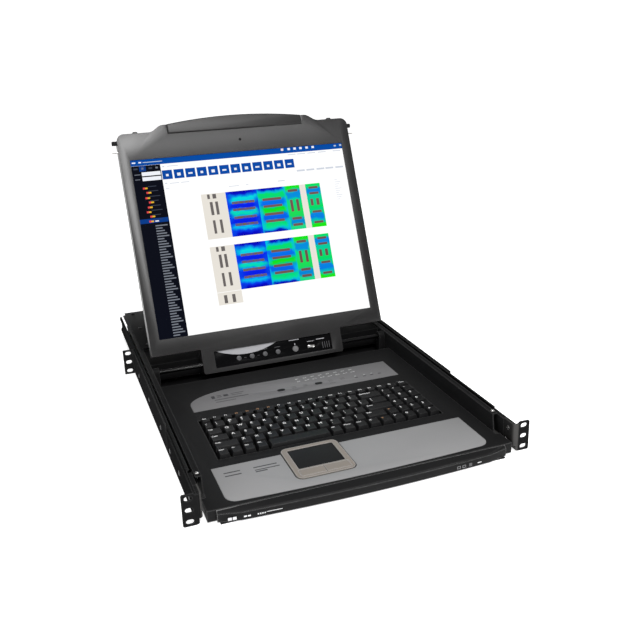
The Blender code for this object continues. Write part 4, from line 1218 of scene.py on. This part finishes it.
@dataclass
class Keyboard:
    """Dished keycaps with rounded edges, and their printed legends."""

    side_gap: float = 1.0
    taper: float = 2.0
    foot: float = 2.0
    dish: float = 0.2
    rim: float = 0.9
    edge: float = 0.0003
    letter: float = 7.2
    word: float = 4.4
    pair: float = 5.2

    def build(self) -> None:
        """Make every row."""
        for row in KEY_ROWS:
            self.row(row)

    def row(self, row: KeyRow) -> None:
        """Model one row, its separate key and their legends.

        Args:
            row: The row's description.
        """
        low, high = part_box(row.node)
        front, rear = low.y / MM, high.y / MM
        base, top = low.z / MM, high.z / MM
        unit = ((high.x - low.x) / MM + 1.0) / sum(row.widths)
        edges = [low.x / MM - 0.5]
        for width in row.widths:
            edges.append(edges[-1] + width * unit)
        spans = list(zip(edges, edges[1:]))
        depth = (front - 0.2 + self.side_gap, rear + 0.2 - self.side_gap)
        fixed = [s for i, s in enumerate(spans) if i != row.single]
        caps = self.caps(f"{row.node}_caps", fixed, depth, base + 0.7, top)
        web = Bench.blocks("web", [(Vector((low.x, low.y, low.z)),
                                    Vector((high.x, high.y, low.z + 0.9 * MM)))])
        caps = Bench.join(f"{row.node}_caps", [caps, web])
        mount(Bench.settle(caps, f"{row.node}_caps", Finish.KEY), "drawer", row.node)
        if row.single is not None:
            self.single(row, spans[row.single], depth, top)
        self.print_row(row, spans, depth, top)

    def caps(self, name: str, spans: Sequence[tuple[float, float]], depth: tuple[float, float],
             base: float, top: float) -> bpy.types.Object:
        """Feet drawn up to tapered, dished tops by two insets.

        Args:
            name: A working name.
            spans: Left and right edge of each key.
            depth: Front and rear edge of the row's caps.
            base: Height of the feet's underside.
            top: Height of the rims.

        Returns:
            The caps as one object.
        """
        foot_top = base + self.foot
        feet = [(corner(left + self.side_gap, depth[0], base),
                 corner(right - self.side_gap, depth[1], foot_top)) for left, right in spans]
        item = Bench.blocks(name, feet)
        Bench.edit(item, False)
        Bench.choose_faces(item, lambda face: face.normal.z > 0.9)
        bpy.ops.mesh.inset(thickness=self.taper * MM, depth=(top - foot_top) * MM,
                           use_individual=True)
        bpy.ops.mesh.inset(thickness=self.rim * MM, depth=-self.dish * MM, use_individual=True)
        Bench.close()
        Bench.ease(item, self.edge, 2, 11.0)
        return item

    def single(self, row: KeyRow, span: tuple[float, float], depth: tuple[float, float],
               top: float) -> None:
        """A key that travels alone, with its stem.

        Args:
            row: The row that it stands in.
            span: Its left and right edge.
            depth: Front and rear edge of the row's caps.
            top: Height of its rim.
        """
        low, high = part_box(row.single_node)
        cap = self.caps("cap", [span], depth, 13.6, top)
        middle = (low + high) / 2
        stem = Bench.turned("stem", Vector((middle.x, middle.y, low.z)), Vector((0, 0, 1)),
                            [(2.0, 0.0), (2.4, 0.4), (2.4, 6.4)], Finish.KEY, 12)
        piece = Bench.join(f"{row.single_node}_cap", [cap, stem])
        piece = Bench.settle(piece, f"{row.single_node}_cap", Finish.KEY)
        mount(piece, row.single_node, row.single_node)

    def print_row(self, row: KeyRow, spans: Sequence[tuple[float, float]],
                  depth: tuple[float, float], top: float) -> None:
        """Print the legends of one row.

        Args:
            row: The row's description.
            spans: Left and right edge of each key.
            depth: Front and rear edge of the row's caps.
            top: Height of the rims.
        """
        groups: dict[tuple[str, Finish], list[bpy.types.Object]] = {}
        for i, (text, (left, _right)) in enumerate(zip(row.legends, spans)):
            if not text:
                continue
            body = row.single_node if i == row.single else "drawer"
            ink = Finish.LEGEND_AMBER if i in row.amber else Finish.LEGEND
            size = self.letter if len(text) == 1 else self.pair if "\n" in text else self.word
            x = left + self.side_gap + self.taper + 0.7
            y = depth[1] - self.taper - 0.75 * size - 0.5
            spot = corner(x, y, top + 0.01)
            groups.setdefault((body, ink), []).append(Bench.legend(text, spot, size * MM))
        for (body, ink), items in groups.items():
            tint = "amber" if ink is Finish.LEGEND_AMBER else "white"
            name = f"{row.node}_{tint}_legends" if body == "drawer" else f"{body}_legend"
            mount(Bench.settle(Bench.join(name, items), name, ink), body)


# ------------------------------------------------------------------ screen


@dataclass
class Screen:
    """Everything on the leaning case: edges, grip, control strip, locks and shafts."""

    axis_height: float = SCREEN_RISE
    axis_depth: float = SCREEN_DEPTH
    width: float = 376.3
    height: float = 301.06
    sliver_place: tuple[float, float, float] = (-46.0, -32.2, 2.28)
    sliver_size: tuple[float, float] = (54.0, 12.6)
    bumper_x: float = 172.5
    lock_x: float = 198.0
    lock_depth: float = 7.5
    knob_height: float = 333.0
    pin_height: float = 318.0

    def __post_init__(self) -> None:
        """Take the placing of the leaning frame from the hinge joint."""
        self.placing = screen_placing()

    def spot(self, x: float, v: float, d: float) -> Vector:
        """A point in the leaning frame.

        Args:
            x: Millimetres to the right.
            v: Millimetres above the picture's lower edge.
            d: Millimetres behind the front of the case.

        Returns:
            The point, in metres from the hinge axis.
        """
        return corner(x, d - self.axis_depth, v + self.axis_height)

    def area(self, rect: Rect, near: float, far: float) -> tuple[Vector, Vector]:
        """Corners of a thin slab facing the user.

        Args:
            rect: Left, right, lower and upper edge.
            near: Depth of its front.
            far: Depth of its back.

        Returns:
            Its lowest and highest corner in the leaning frame.
        """
        left, right, lower, upper = rect
        return self.spot(left, lower, near), self.spot(right, upper, far)

    def build(self) -> None:
        """Make the case and its fittings."""
        self.case()
        self.control_strip()
        self.locks()
        self.hinge()
        self.back_details()

    def case(self) -> None:
        """Ease the two halves of the case, the grip and the display module."""
        Bench.eased_copies(
            ("screen_bezel", "bezel", Finish.CASE, 0.0008, 3, 40.0),
            ("screen_back", "back_shell", Finish.CASE, 0.0012, 3, 40.0),
            ("screen_handle", "top_grip", Finish.GRIP, 0.0006, 3, 25.0),
            ("screen_panel", "display_module", Finish.GASKET, 0.0003),
            ("driver_board", "display_driver", Finish.BOARD, 0.0002))
        for side, hand in ((-1, "left"), (1, "right")):
            middle = side * self.bumper_x
            bumper = Bench.blocks(f"{hand}_bumper", [
                self.area((middle - 5.5, middle + 5.5, 344.0, 349.6), 2.0, 12.0)])
            Bench.edit(bumper, False)
            Bench.choose_faces(bumper, lambda face: face.normal.z > 0.9)
            bpy.ops.transform.resize(value=(0.62, 0.7, 1.0))
            Bench.close()
            Bench.ease(bumper, 0.0009, 3)
            mount(Bench.settle(bumper, f"{hand}_bumper", Finish.CASE, self.placing), "screen")
        eye = Bench.turned("case_sensor", self.spot(3.0, 322.0, 0.3), Vector((0, -1, 0)),
                           [(2.4, 0.0), (2.4, 0.35), (1.7, 0.45)],
                           Finish.GLOSS, 20, self.placing)
        mount(eye, "screen")

    def control_strip(self) -> None:
        """Gloss strip with its marks, buttons, lamp and socket."""
        Bench.eased_copy("control_strip", "strip_plate", Finish.GLOSS, 0.0002)
        for node in ("menu_button", "left_button", "right_button", "exit_button"):
            Bench.eased_copy(node, f"{node}_cap", Finish.BUTTON, 0.0002, 2, 25.0)
        Bench.eased_copy("screen_power_button", "screen_power_cap", Finish.UPPER, 0.0002, 2, 25.0)
        Bench.eased_copy("usb_socket", "usb_shell", Finish.NICKEL, 0.0002)
        self.swoosh()
        marks = [(x - 5.0, x + 5.0, -42.6, -41.8) for x in (-62.0, -39.0, -16.0, 7.0)]
        marks += [(88.0 + 4 * i, 89.0 + 4 * i, -57.0, -46.0) for i in range(4)]
        marks += [(-53.0, -49.0, -51.2, -50.6), (-30.0, -26.0, -51.2, -50.6)]
        self.slabs("strip_lines", marks, 2.24, 2.34, Finish.BUTTON)
        labels = [(29.0, 47.0, -35.6, -34.2), (78.0, 93.0, -40.8, -39.4),
                  (37.6, 39.4, -44.0, -41.0), (61.0, 73.0, -42.0, -41.2)]
        self.slabs("strip_labels", labels, 2.24, 2.36, Finish.SILVER_INK)
        tongue = Bench.round_block("usb_tongue", self.spot(61.8, -51.2, 1.6),
                                   self.spot(72.2, -50.2, 9.0), Finish.LEGEND, 0.0002, self.placing)
        mount(tongue, "screen")

    def slabs(self, name: str, rects: Sequence[Rect], near: float, far: float,
              finish: Finish) -> None:
        """Thin raised areas as one piece.

        Args:
            name: The piece's name.
            rects: Left, right, lower and upper edge of each.
            near: Depth of their front.
            far: Depth of their back.
            finish: Their finish.
        """
        areas = [self.area(rect, near, far) for rect in rects]
        fit_blocks(name, areas, finish, "screen", matrix=self.placing)

    def swoosh(self) -> None:
        """Bright sliver that hangs from the strip's upper edge: a shallow segment of a disc."""
        Bench.clear()
        centre, top, depth = self.sliver_place
        reach, drop = self.sliver_size
        radius = (reach ** 2 + drop ** 2) / (2 * drop)
        middle = self.spot(centre, top, depth)
        bpy.ops.mesh.primitive_cylinder_add(
            vertices=256, radius=radius * MM, depth=0.12 * MM,
            location=self.spot(centre, top - drop + radius, depth),
            rotation=(math.radians(90.0), 0.0, 0.0))
        item = bpy.context.active_object
        Bench.edit(item)
        bpy.ops.mesh.bisect(plane_co=middle, plane_no=(0.0, 0.0, 1.0), use_fill=True,
                            clear_outer=True)
        Bench.close()
        mount(Bench.settle(item, "strip_sliver", Finish.SILVER_INK, self.placing), "screen")

    def locks(self) -> None:
        """Black knob and bright pin on each side."""
        for side, hand in ((-1, "left"), (1, "right")):
            body = f"{hand}_screen_lock"
            axis = Vector((side, 0.0, 0.0))
            knob = Bench.turned(
                f"{hand}_lock_knob",
                self.spot(side * self.lock_x, self.knob_height, self.lock_depth), axis,
                [(3.7, 0.0), (3.7, 13.6), (3.3, 14.2), (2.6, 14.5), (2.4, 14.1)],
                Finish.KEY, 24, self.placing)
            pin = Bench.turned(
                f"{hand}_lock_pin",
                self.spot(side * self.lock_x, self.pin_height, self.lock_depth), axis,
                [(1.7, 0.0), (1.7, 16.4), (1.2, 17.1)], Finish.NICKEL, 20, self.placing)
            slide = Bench.round_block(
                f"{hand}_lock_slide", self.spot(side * (self.lock_x - 1.5) - 2.0, 314.0, 4.6),
                self.spot(side * (self.lock_x - 1.5) + 2.0, 337.0, 10.4), Finish.ZINC, 0.0004,
                self.placing)
            mount(knob, body, body)
            mount(pin, body)
            mount(slide, body)

    def hinge(self) -> None:
        """Shafts that the case turns on; the left one has a lighter, glossier steel than the right
        as a painted highlight.
        """
        Bench.eased_copies(("left_hinge_shaft", "left_shaft", Finish.ROD, 0.0003),
                           ("right_hinge_shaft", "right_shaft", Finish.DARK_STEEL, 0.0003))

    def back_details(self) -> None:
        """Raised panel, air slots and screws on the back of the case."""
        raised = Bench.blocks("back_panel", [self.area((-150.0, 150.0, 40.0, 290.0), 19.8, 20.9)])
        Bench.edit(raised, False)
        Bench.choose_faces(raised, lambda face: face.normal.y > 0.9)
        bpy.ops.mesh.inset(thickness=0.012, depth=-0.0005)
        Bench.close()
        Bench.ease(raised, 0.0005, 3)
        mount(Bench.settle(raised, "back_panel", Finish.CASE, self.placing), "screen")
        slots = [(x, x + 3.0, 60.0, 95.0) for x in range(-60, 61, 8)]
        # Air slots as dark strips: painted shade.
        self.slabs("back_air_slots", slots, 20.3, 20.46, Finish.GASKET)
        heads = [Fastener(3.4, 1.2).build(self.spot(x, v, 20.0), Vector((0, 1, 0)),
                                          Finish.DARK_STEEL)
                 for x in (-190.0, 190.0) for v in (-10.0, 160.0, 325.0)]
        screws = Bench.join("back_screws", heads)
        mount(Bench.settle(screws, "back_screws", Finish.DARK_STEEL, self.placing), "screen")


@dataclass
class Picture:
    """The lit page: title bar, tool tiles, side list and two room plans."""

    screen: Screen
    layer: float = 0.05
    deepest: float = 2.26
    tile_first: float = -139.0
    tile_pitch: float = 19.6
    tile_count: int = 12

    def build(self) -> None:
        """Draw the page from back to front."""
        half, high = self.screen.width / 2 - 0.1, self.screen.height
        self.draw("page", 0, [(-half, half, 0.1, high - 0.1)], Finish.PAGE)
        self.draw("side_field", 1, [(-half, -140.0, 0.1, 291.0)], Finish.NAVY)
        self.draw("title_bar", 1, [(-half, half, 291.2, high - 0.1)], Finish.TITLE_BLUE)
        self.toolbar()
        self.side_list(half)
        self.page_lines()
        for index, rise in enumerate((0.0, -91.0)):
            self.plan(f"plan_{index + 1}", rise, index == 1)

    def draw(self, name: str, level: int, rects: Sequence[Rect], finish: Finish) -> None:
        """Add one colour of the picture.

        Args:
            name: What it shows.
            level: Its layer, counted from the back.
            rects: Left, right, lower and upper edge of each area.
            finish: Its colour.
        """
        far = self.deepest - level * self.layer
        self.screen.slabs(f"picture_{name}", rects, far - 0.03, far, finish)

    def toolbar(self) -> None:
        """Tool tiles and the small marks in the title bar."""
        tiles, marks = [], []
        for i in range(self.tile_count):
            left = self.tile_first + self.tile_pitch * i
            tiles.append((left, left + 16.8, 264.6, 280.2))
            wide, tall = 2.2 + 0.7 * (i % 3), 1.3 + 0.6 * ((i + 1) % 3)
            marks.append((left + 8.2 - wide, left + 8.2 + wide, 271.6 - tall, 271.6 + tall))
        self.draw("tiles", 1, tiles, Finish.TILE_BLUE)
        self.draw("tile_marks", 2, marks, Finish.PIC_WHITE)
        icons = [(x - 2.3, x + 2.3, 296.2, 300.0) for x in (88, 99, 110, 121.5, 133)]
        icons += [(-186.0, -180.0, 295.4, 297.6), (-175.0, -170.5, 295.4, 297.6)]
        self.draw("title_marks", 2, icons, Finish.PIC_WHITE)
        self.draw("alert_mark", 2, [(73.4, 78.0, 296.0, 300.0)], Finish.PIC_PINK)
        quiet = [(-168.0, -136.0, 295.6, 296.8), (173.0, 177.0, 295.8, 298.4),
                 (183.5, 187.5, 296.0, 299.0)]
        self.draw("title_notes", 2, quiet, Finish.PIC_LINE)

    def side_list(self, half: float) -> None:
        """Fields, coloured marks, the chosen row and the long list.

        Args:
            half: Half the picture's width.
        """
        self.draw("fields", 2, [(-172.6, -141.4, 273.4, 279.8), (-172.6, -141.4, 265.0, 271.4)],
                  Finish.PIC_WHITE)
        self.draw("tabs", 2, [(-175.5, -164.5, 281.4, 290.4)], Finish.ROW_BLUE)
        heads = [(-172.0, -168.2, 284.4, 287.8), (-148.4, -144.6, 284.6, 287.4)]
        heads += [(-184.6, -175.0, 275.6, 276.8), (-184.6, -176.5, 267.4, 268.5)]
        self.draw("chosen_row", 2, [(-half, -141.0, 193.8, 201.2)], Finish.ROW_BLUE)
        rows = [(-164.0, -164.0 + 11.0 + 3.0 * ((i * 7) % 4), v, v + 2.0)
                for i, v in enumerate(self.steps(3.0, 190.0, 4.5))]
        self.draw("list_rows", 2, rows + heads, Finish.PIC_GREY)
        heights = (251.0, 243.2, 234.4, 226.8, 218.6, 210.8, 203.0, 195.0)
        marks = [(-174.4 + 1.5 * ((i * 3) % 5), -170.6 + 1.5 * ((i * 3) % 5), v, v + 3.2)
                 for i, v in enumerate(heights)]
        self.draw("list_marks_red", 3, marks, Finish.PIC_RED)
        marks = [(-171.0 + 1.5 * ((i * 3) % 5), -167.0 + 1.7 * ((i * 3) % 5), v + 0.2, v + 2.8)
                 for i, v in enumerate(heights)]
        self.draw("list_marks_amber", 3, marks, Finish.PIC_AMBER)
        dim = [(-166.0, -152.0 + (i % 3) * 2.0, v + 3.6, v + 4.8) for i, v in enumerate(heights)]
        dim += [(-185.0, -178.0, 284.6, 287.4), (-160.0, -154.0, 284.6, 287.4)]
        self.draw("list_labels", 2, dim, Finish.PIC_DIM)
        self.draw("chosen_label", 3, [(-163.0, -157.0, 195.4, 197.4)], Finish.PIC_WHITE)

    @staticmethod
    def steps(low: float, high: float, pitch: float) -> list[float]:
        """Heights from low to high at a pitch."""
        return [low + pitch * i for i in range(int((high - low) / pitch) + 1)]

    def page_lines(self) -> None:
        """Lines of small print across the page."""
        lines = [(-137.0, -133.5, 285.4, 287.4), (-129.0, -110.0, 286.0, 287.2)]
        lines += [(x, x + 15.0, 287.2, 288.8) for x in (84, 102, 121, 141, 169)]
        lines += [(-137.0, -133.0, 257.0, 258.8), (-129.0, -113.0, 256.6, 257.8)]
        lines += [(-110.0, -96.0, 256.6, 257.8), (-137.0, -131.0, 248.6, 249.6)]
        self.draw("small_print", 1, lines, Finish.PIC_FAINT)
        band = [(x, x + 15.0, 256.6, 259.8) for x in (96, 114, 133, 150, 169)]
        self.draw("band", 1, band, Finish.PIC_FAINT)
        key = [(162.0, 168.0 + (i % 3) * 3.0, v, v + 0.9)
               for i, v in enumerate(self.steps(200.0, 238.0, 3.9))]
        key += [(-30.0, -12.0, 241.6, 242.8), (0.0, 5.0, 241.6, 242.8), (58.0, 71.0, 242.4, 244.0)]
        self.draw("key_lines", 1, key, Finish.PIC_FAINT)

    def plan(self, name: str, rise: float, longer: bool) -> None:
        """One room plan: stores on the left, then four heat zones with racks.

        Args:
            name: The plan's name.
            rise: How far above the first plan it stands.
            longer: Whether its store room goes on below.
        """
        def moved(rects: Sequence[Rect]) -> list[Rect]:
            """The areas, raised to this plan."""
            return [(a, b, low + rise, high + rise) for a, b, low, high in rects]

        store = [(-80.5, -38.2, 155.0, 233.0)]
        cabinets = [(-70.0, -65.6, 224.0, 232.0), (-61.0, -54.6, 224.0, 232.0),
                    (-67.5, -62.6, 196.0, 218.6), (-58.2, -53.4, 196.0, 218.6),
                    (-67.4, -63.0, 164.0, 187.0), (-55.6, -51.0, 164.0, 187.0)]
        if longer:
            store.append((-80.5, -38.2, 133.0, 154.2))
            cabinets += [(-70.0, -64.4, 135.4, 149.2), (-55.8, -50.2, 135.4, 149.2)]
        self.draw(f"{name}_store", 1, moved(store), Finish.PIC_STONE)
        self.draw(f"{name}_cabinets", 2, moved(cabinets), Finish.PIC_CABINET)
        zones = {"cold": (-38.0, 17.2, Finish.HEAT_COLD), "mild": (17.2, 68.0, Finish.HEAT_MILD),
                 "warm": (68.0, 95.6, Finish.HEAT_WARM), "side": (106.4, 134.0, Finish.HEAT_SIDE)}
        for zone, (left, right, finish) in zones.items():
            self.draw(f"{name}_{zone}", 1, moved([(left, right, 155.0, 233.0)]), finish)
        corridor = [(95.8, 106.2, 155.0, 233.0)]
        walls = [(97.0, 98.4, 155.0, 233.0), (103.6, 105.0, 155.0, 233.0)]
        self.draw(f"{name}_corridor", 1, moved(corridor), Finish.PIC_STONE)
        self.draw(f"{name}_walls", 2, moved(walls), Finish.PIC_PINK)
        aisles = ((210.8, 215.2), (198.8, 203.0), (184.8, 189.2), (172.6, 177.0))
        mixed = [(-29.5, 10.5, low, high) for low, high in aisles]
        self.draw(f"{name}_mixed_racks", 2, moved(mixed), Finish.MIXED_RACK)
        racks = [(25.0, 59.0, low, high) for low, high in aisles]
        racks += [(73.0, 90.6, v, v + 4.4) for v in (222.0, 172.4, 161.2)]
        racks += [(74.0, 79.0, 187.0, 208.0), (85.0, 90.0, 187.0, 208.0)]
        racks += [(112.0, 129.0, v, v + 4.0) for v in (224.0, 213.8, 180.8, 161.8)]
        racks += [(111.6, 116.6, 194.0, 206.0), (122.4, 127.8, 194.0, 206.0)]
        self.draw(f"{name}_racks", 2, moved(racks), Finish.PIC_RACK)


# ------------------------------------------------------------------ electronics box


@dataclass
class RearBox:
    """Covers, rear wall, sockets, switch and boards behind the screen."""

    columns: int = 8
    pitch: float = 33.0
    first_x: float = -172.0
    rows: tuple[float, ...] = (13.5, 30.5)
    hole_rows: tuple[tuple[float, float], ...] = ((2.0, 0.0), (0.0, 1.15), (-2.0, 0.0))
    blades: tuple[tuple[float, float], ...] = ((-7.0, -2.0), (0.0, 2.0), (7.0, -2.0))
    blade_span: tuple[float, float] = (684.3, 698.4)
    console_x: float = 107.0

    def build(self) -> None:
        """Make the box."""
        self.sheet_metal()
        self.ports()
        self.inlet_and_switch()
        self.boards()
        self.lid_details()

    def sheet_metal(self) -> None:
        """Ease the covers and the rear wall."""
        Bench.eased_copies(("rear_cover", "box_lid", Finish.CHASSIS, 0.0004),
                           ("hinge_cover", "cable_cover", Finish.CHASSIS, 0.0004),
                           ("rear_panel", "rear_wall", Finish.CHASSIS, 0.0003))

    def ports(self) -> None:
        """Plated shells with blue inserts and rows of contact holes drawn as dark squares (painted
        shade), and two round sockets.
        """
        Bench.eased_copies(("computer_ports", "port_block", Finish.ZINC, 0.0003),
                           ("console_ports", "console_block", Finish.ZINC, 0.0003))
        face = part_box("computer_ports")[1].y / MM
        inserts = [self.insert(self.first_x + self.pitch * c, z, face)
                   for c in range(self.columns) for z in self.rows]
        inserts.append(self.insert(self.console_x, 13.0, face))
        fit_blocks("port_inserts", inserts, Finish.INSERT, "drawer", 0.0002, 2)
        holes = []
        for low, high in inserts:
            x, z = (low.x + high.x) / 2 / MM, (low.z + high.z) / 2 / MM
            for rise, shift in self.hole_rows:
                for step in range(-2, 3):
                    spot = (x + shift + 2.29 * step, z + rise)
                    holes.append((corner(spot[0] - 0.4, face + 0.2, spot[1] - 0.4),
                                  corner(spot[0] + 0.4, face + 0.32, spot[1] + 0.4)))
        # Contact holes as dark squares: painted shade.
        fit_blocks("port_contact_holes", holes, Finish.GASKET, "drawer", 0.0)
        places = [corner(self.console_x + side * 9.0, 702.0, 30.0) for side in (-1, 1)]
        profile = [(5.6, 0.0), (5.6, 0.2), (5.0, 0.24), (4.6, 0.05)]
        rounds = [Bench.turned("socket", place, Vector((0, 1, 0)), profile, Finish.HOUSING, 24)
                  for place in places]
        mount(Bench.join("round_sockets", rounds), "drawer")

    @staticmethod
    def insert(x: float, z: float, face: float) -> tuple[Vector, Vector]:
        """Corners of the insert in a connector shell, in millimetres."""
        return corner(x - 7.2, face - 0.3, z - 3.3), corner(x + 7.2, face + 0.25, z + 3.3)

    def inlet_and_switch(self) -> None:
        """Mains inlet with bright blades, and the rocker."""
        Bench.eased_copies(("power_inlet", "inlet_housing", Finish.HOUSING, 0.0004),
                           ("power_switch", "rocker", Finish.KEY, 0.0005, 3))
        low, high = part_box("power_inlet")
        x, z = (low.x + high.x) / 2 / MM, (low.z + high.z) / 2 / MM
        inner, outer = self.blade_span
        blades = [(corner(x + dx - 1.15, inner, z + dz - 2.15),
                   corner(x + dx + 1.15, outer, z + dz + 2.15)) for dx, dz in self.blades]
        fit_blocks("inlet_blades", blades, Finish.NICKEL, "drawer", 0.0004, 2)

    def boards(self) -> None:
        """Finishes of the boards and the power supply inside."""
        Bench.eased_copies(("main_board", "switching_board", Finish.BOARD, 0.0002),
                           ("power_supply", "supply_can", Finish.ZINC, 0.0004))

    def lid_details(self) -> None:
        """Screws in the lid and the rear wall."""
        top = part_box("rear_cover")[1].z / MM
        up, back = Vector((0, 0, 1)), Vector((0, 1, 0))
        heads = [Fastener(3.4, 1.2).build(corner(x, y, top), up, Finish.DARK_STEEL)
                 for x in (-196.0, 0.0, 196.0) for y in (512.0, 600.0, 688.0)]
        mount(Bench.join("lid_screws", heads), "drawer")
        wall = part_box("rear_panel")[1].y / MM
        heads = [Fastener(2.8, 1.1).build(corner(x, wall, z), back, Finish.ZINC)
                 for x in (-199.0, 200.5) for z in (9.0, 35.0)]
        mount(Bench.join("wall_screws", heads), "drawer")


# ------------------------------------------------------------------ studio


@dataclass
class Studio:
    """Pale floor, soft lights and the camera."""

    azimuth: float = -19.85
    elevation: float = 19.99
    roll: float = -1.93
    lens: float = 45.885
    place: tuple[float, float, float] = (-363.1, -843.4, 562.7)
    floor_colour: Colour = (0.88, 0.88, 0.88)
    glow: float = 0.88
    daylight: float = 0.24

    def build(self) -> None:
        """Set up the studio."""
        self.floor()
        self.world()
        self.lamp("key", (-0.02, -1.3, 2.3), (0.0, 0.5, 0.3), (1.1, 1.0), 57.0)
        self.lamp("top", (0.3, 0.3, 2.6), (0.0, 0.35, 0.0), (1.6, 1.6), 14.0)
        self.lamp("side", (-2.2, -0.4, 1.0), (0.0, 0.3, 0.1), (1.0, 1.0), 4.0)
        self.camera()

    def floor(self) -> None:
        """White sweep: a floor that turns up into a low wall far away on every side."""
        Bench.clear()
        bpy.ops.mesh.primitive_plane_add(size=24.0, location=(0.0, -5.0, -0.0004))
        item = bpy.context.active_object
        for rear, height in ((True, 1.1), (False, 2.7)):
            bpy.ops.object.mode_set(mode="EDIT")
            bpy.ops.mesh.select_mode(type="EDGE")
            bpy.ops.mesh.select_all(action="DESELECT")
            bpy.ops.object.mode_set(mode="OBJECT")
            for edge in item.data.edges:
                ends = [item.data.vertices[i].co for i in edge.vertices]
                on_floor = max(end.z for end in ends) < 0.01
                edge.select = on_floor and (min(end.y for end in ends) > 11.0) == rear
            bpy.ops.object.mode_set(mode="EDIT")
            bpy.ops.mesh.extrude_edges_move(TRANSFORM_OT_translate={"value": (0.0, 0.0, height)})
            Bench.close()
        graph = Graph("studio_sweep")
        cloud = graph.noise(3.0, 2.0)
        white = graph.between(cloud, shade(self.floor_colour, 0.99), self.floor_colour)
        material = graph.finish({"Base Color": white, "Roughness": 0.9, "Emission Color": white,
                                 "Specular IOR Level": 0.1, "Emission Strength": self.glow})
        Bench.coat(Bench.settle(item, "floor", None), material)

    def world(self) -> None:
        """Even pale light from all round."""
        world = bpy.data.worlds.new("studio_light")
        world.use_nodes = True
        background = world.node_tree.nodes["Background"]
        background.inputs["Color"].default_value = (1.0, 1.0, 1.0, 1.0)
        background.inputs["Strength"].default_value = self.daylight
        bpy.context.scene.world = world
        bpy.context.scene.view_settings.view_transform = "Standard"

    def lamp(self, name: str, place: tuple[float, float, float],
             target: tuple[float, float, float], size: tuple[float, float], power: float) -> None:
        """Add one soft rectangular light.

        Args:
            name: Its name.
            place: Where it hangs.
            target: What it faces.
            size: Its width and height.
            power: Its power in watts.
        """
        Bench.clear()
        bpy.ops.object.light_add(type="AREA", location=place)
        item = bpy.context.active_object
        item.name = name
        item.data.shape = "RECTANGLE"
        item.data.size, item.data.size_y = size
        item.data.energy = power
        facing = Vector(target) - Vector(place)
        item.rotation_mode = "QUATERNION"
        item.rotation_quaternion = facing.to_track_quat("-Z", "Y")

    def camera(self) -> None:
        """Camera at the solved place, turn and lens."""
        data = bpy.data.cameras.new("studio_camera")
        data.lens = self.lens
        data.sensor_width = 36.0
        item = bpy.data.objects.new("studio_camera", data)
        bpy.context.scene.collection.objects.link(item)
        side, rise = math.radians(self.azimuth), math.radians(self.elevation)
        back = Vector((math.sin(side) * math.cos(rise), -math.cos(side) * math.cos(rise),
                       math.sin(rise)))
        turn = (-back).to_track_quat("-Z", "Y")
        item.rotation_mode = "QUATERNION"
        item.rotation_quaternion = turn @ Quaternion((0.0, 0.0, 1.0), math.radians(self.roll))
        item.location = Vector(self.place) * MM
        bpy.context.scene.camera = item


def main() -> None:
    """Dress the console and set up the studio."""
    logging.basicConfig(level=logging.INFO, format="%(name)s: %(message)s")
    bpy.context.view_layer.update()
    screen = Screen()
    for group in (Studio(), RackFrame(), Drawer(), Keyboard(), screen, Picture(screen), RearBox()):
        group.build()
        LOG.info("%s built", type(group).__name__)
    Bench.clear()


if __name__ == "__main__":
    main()
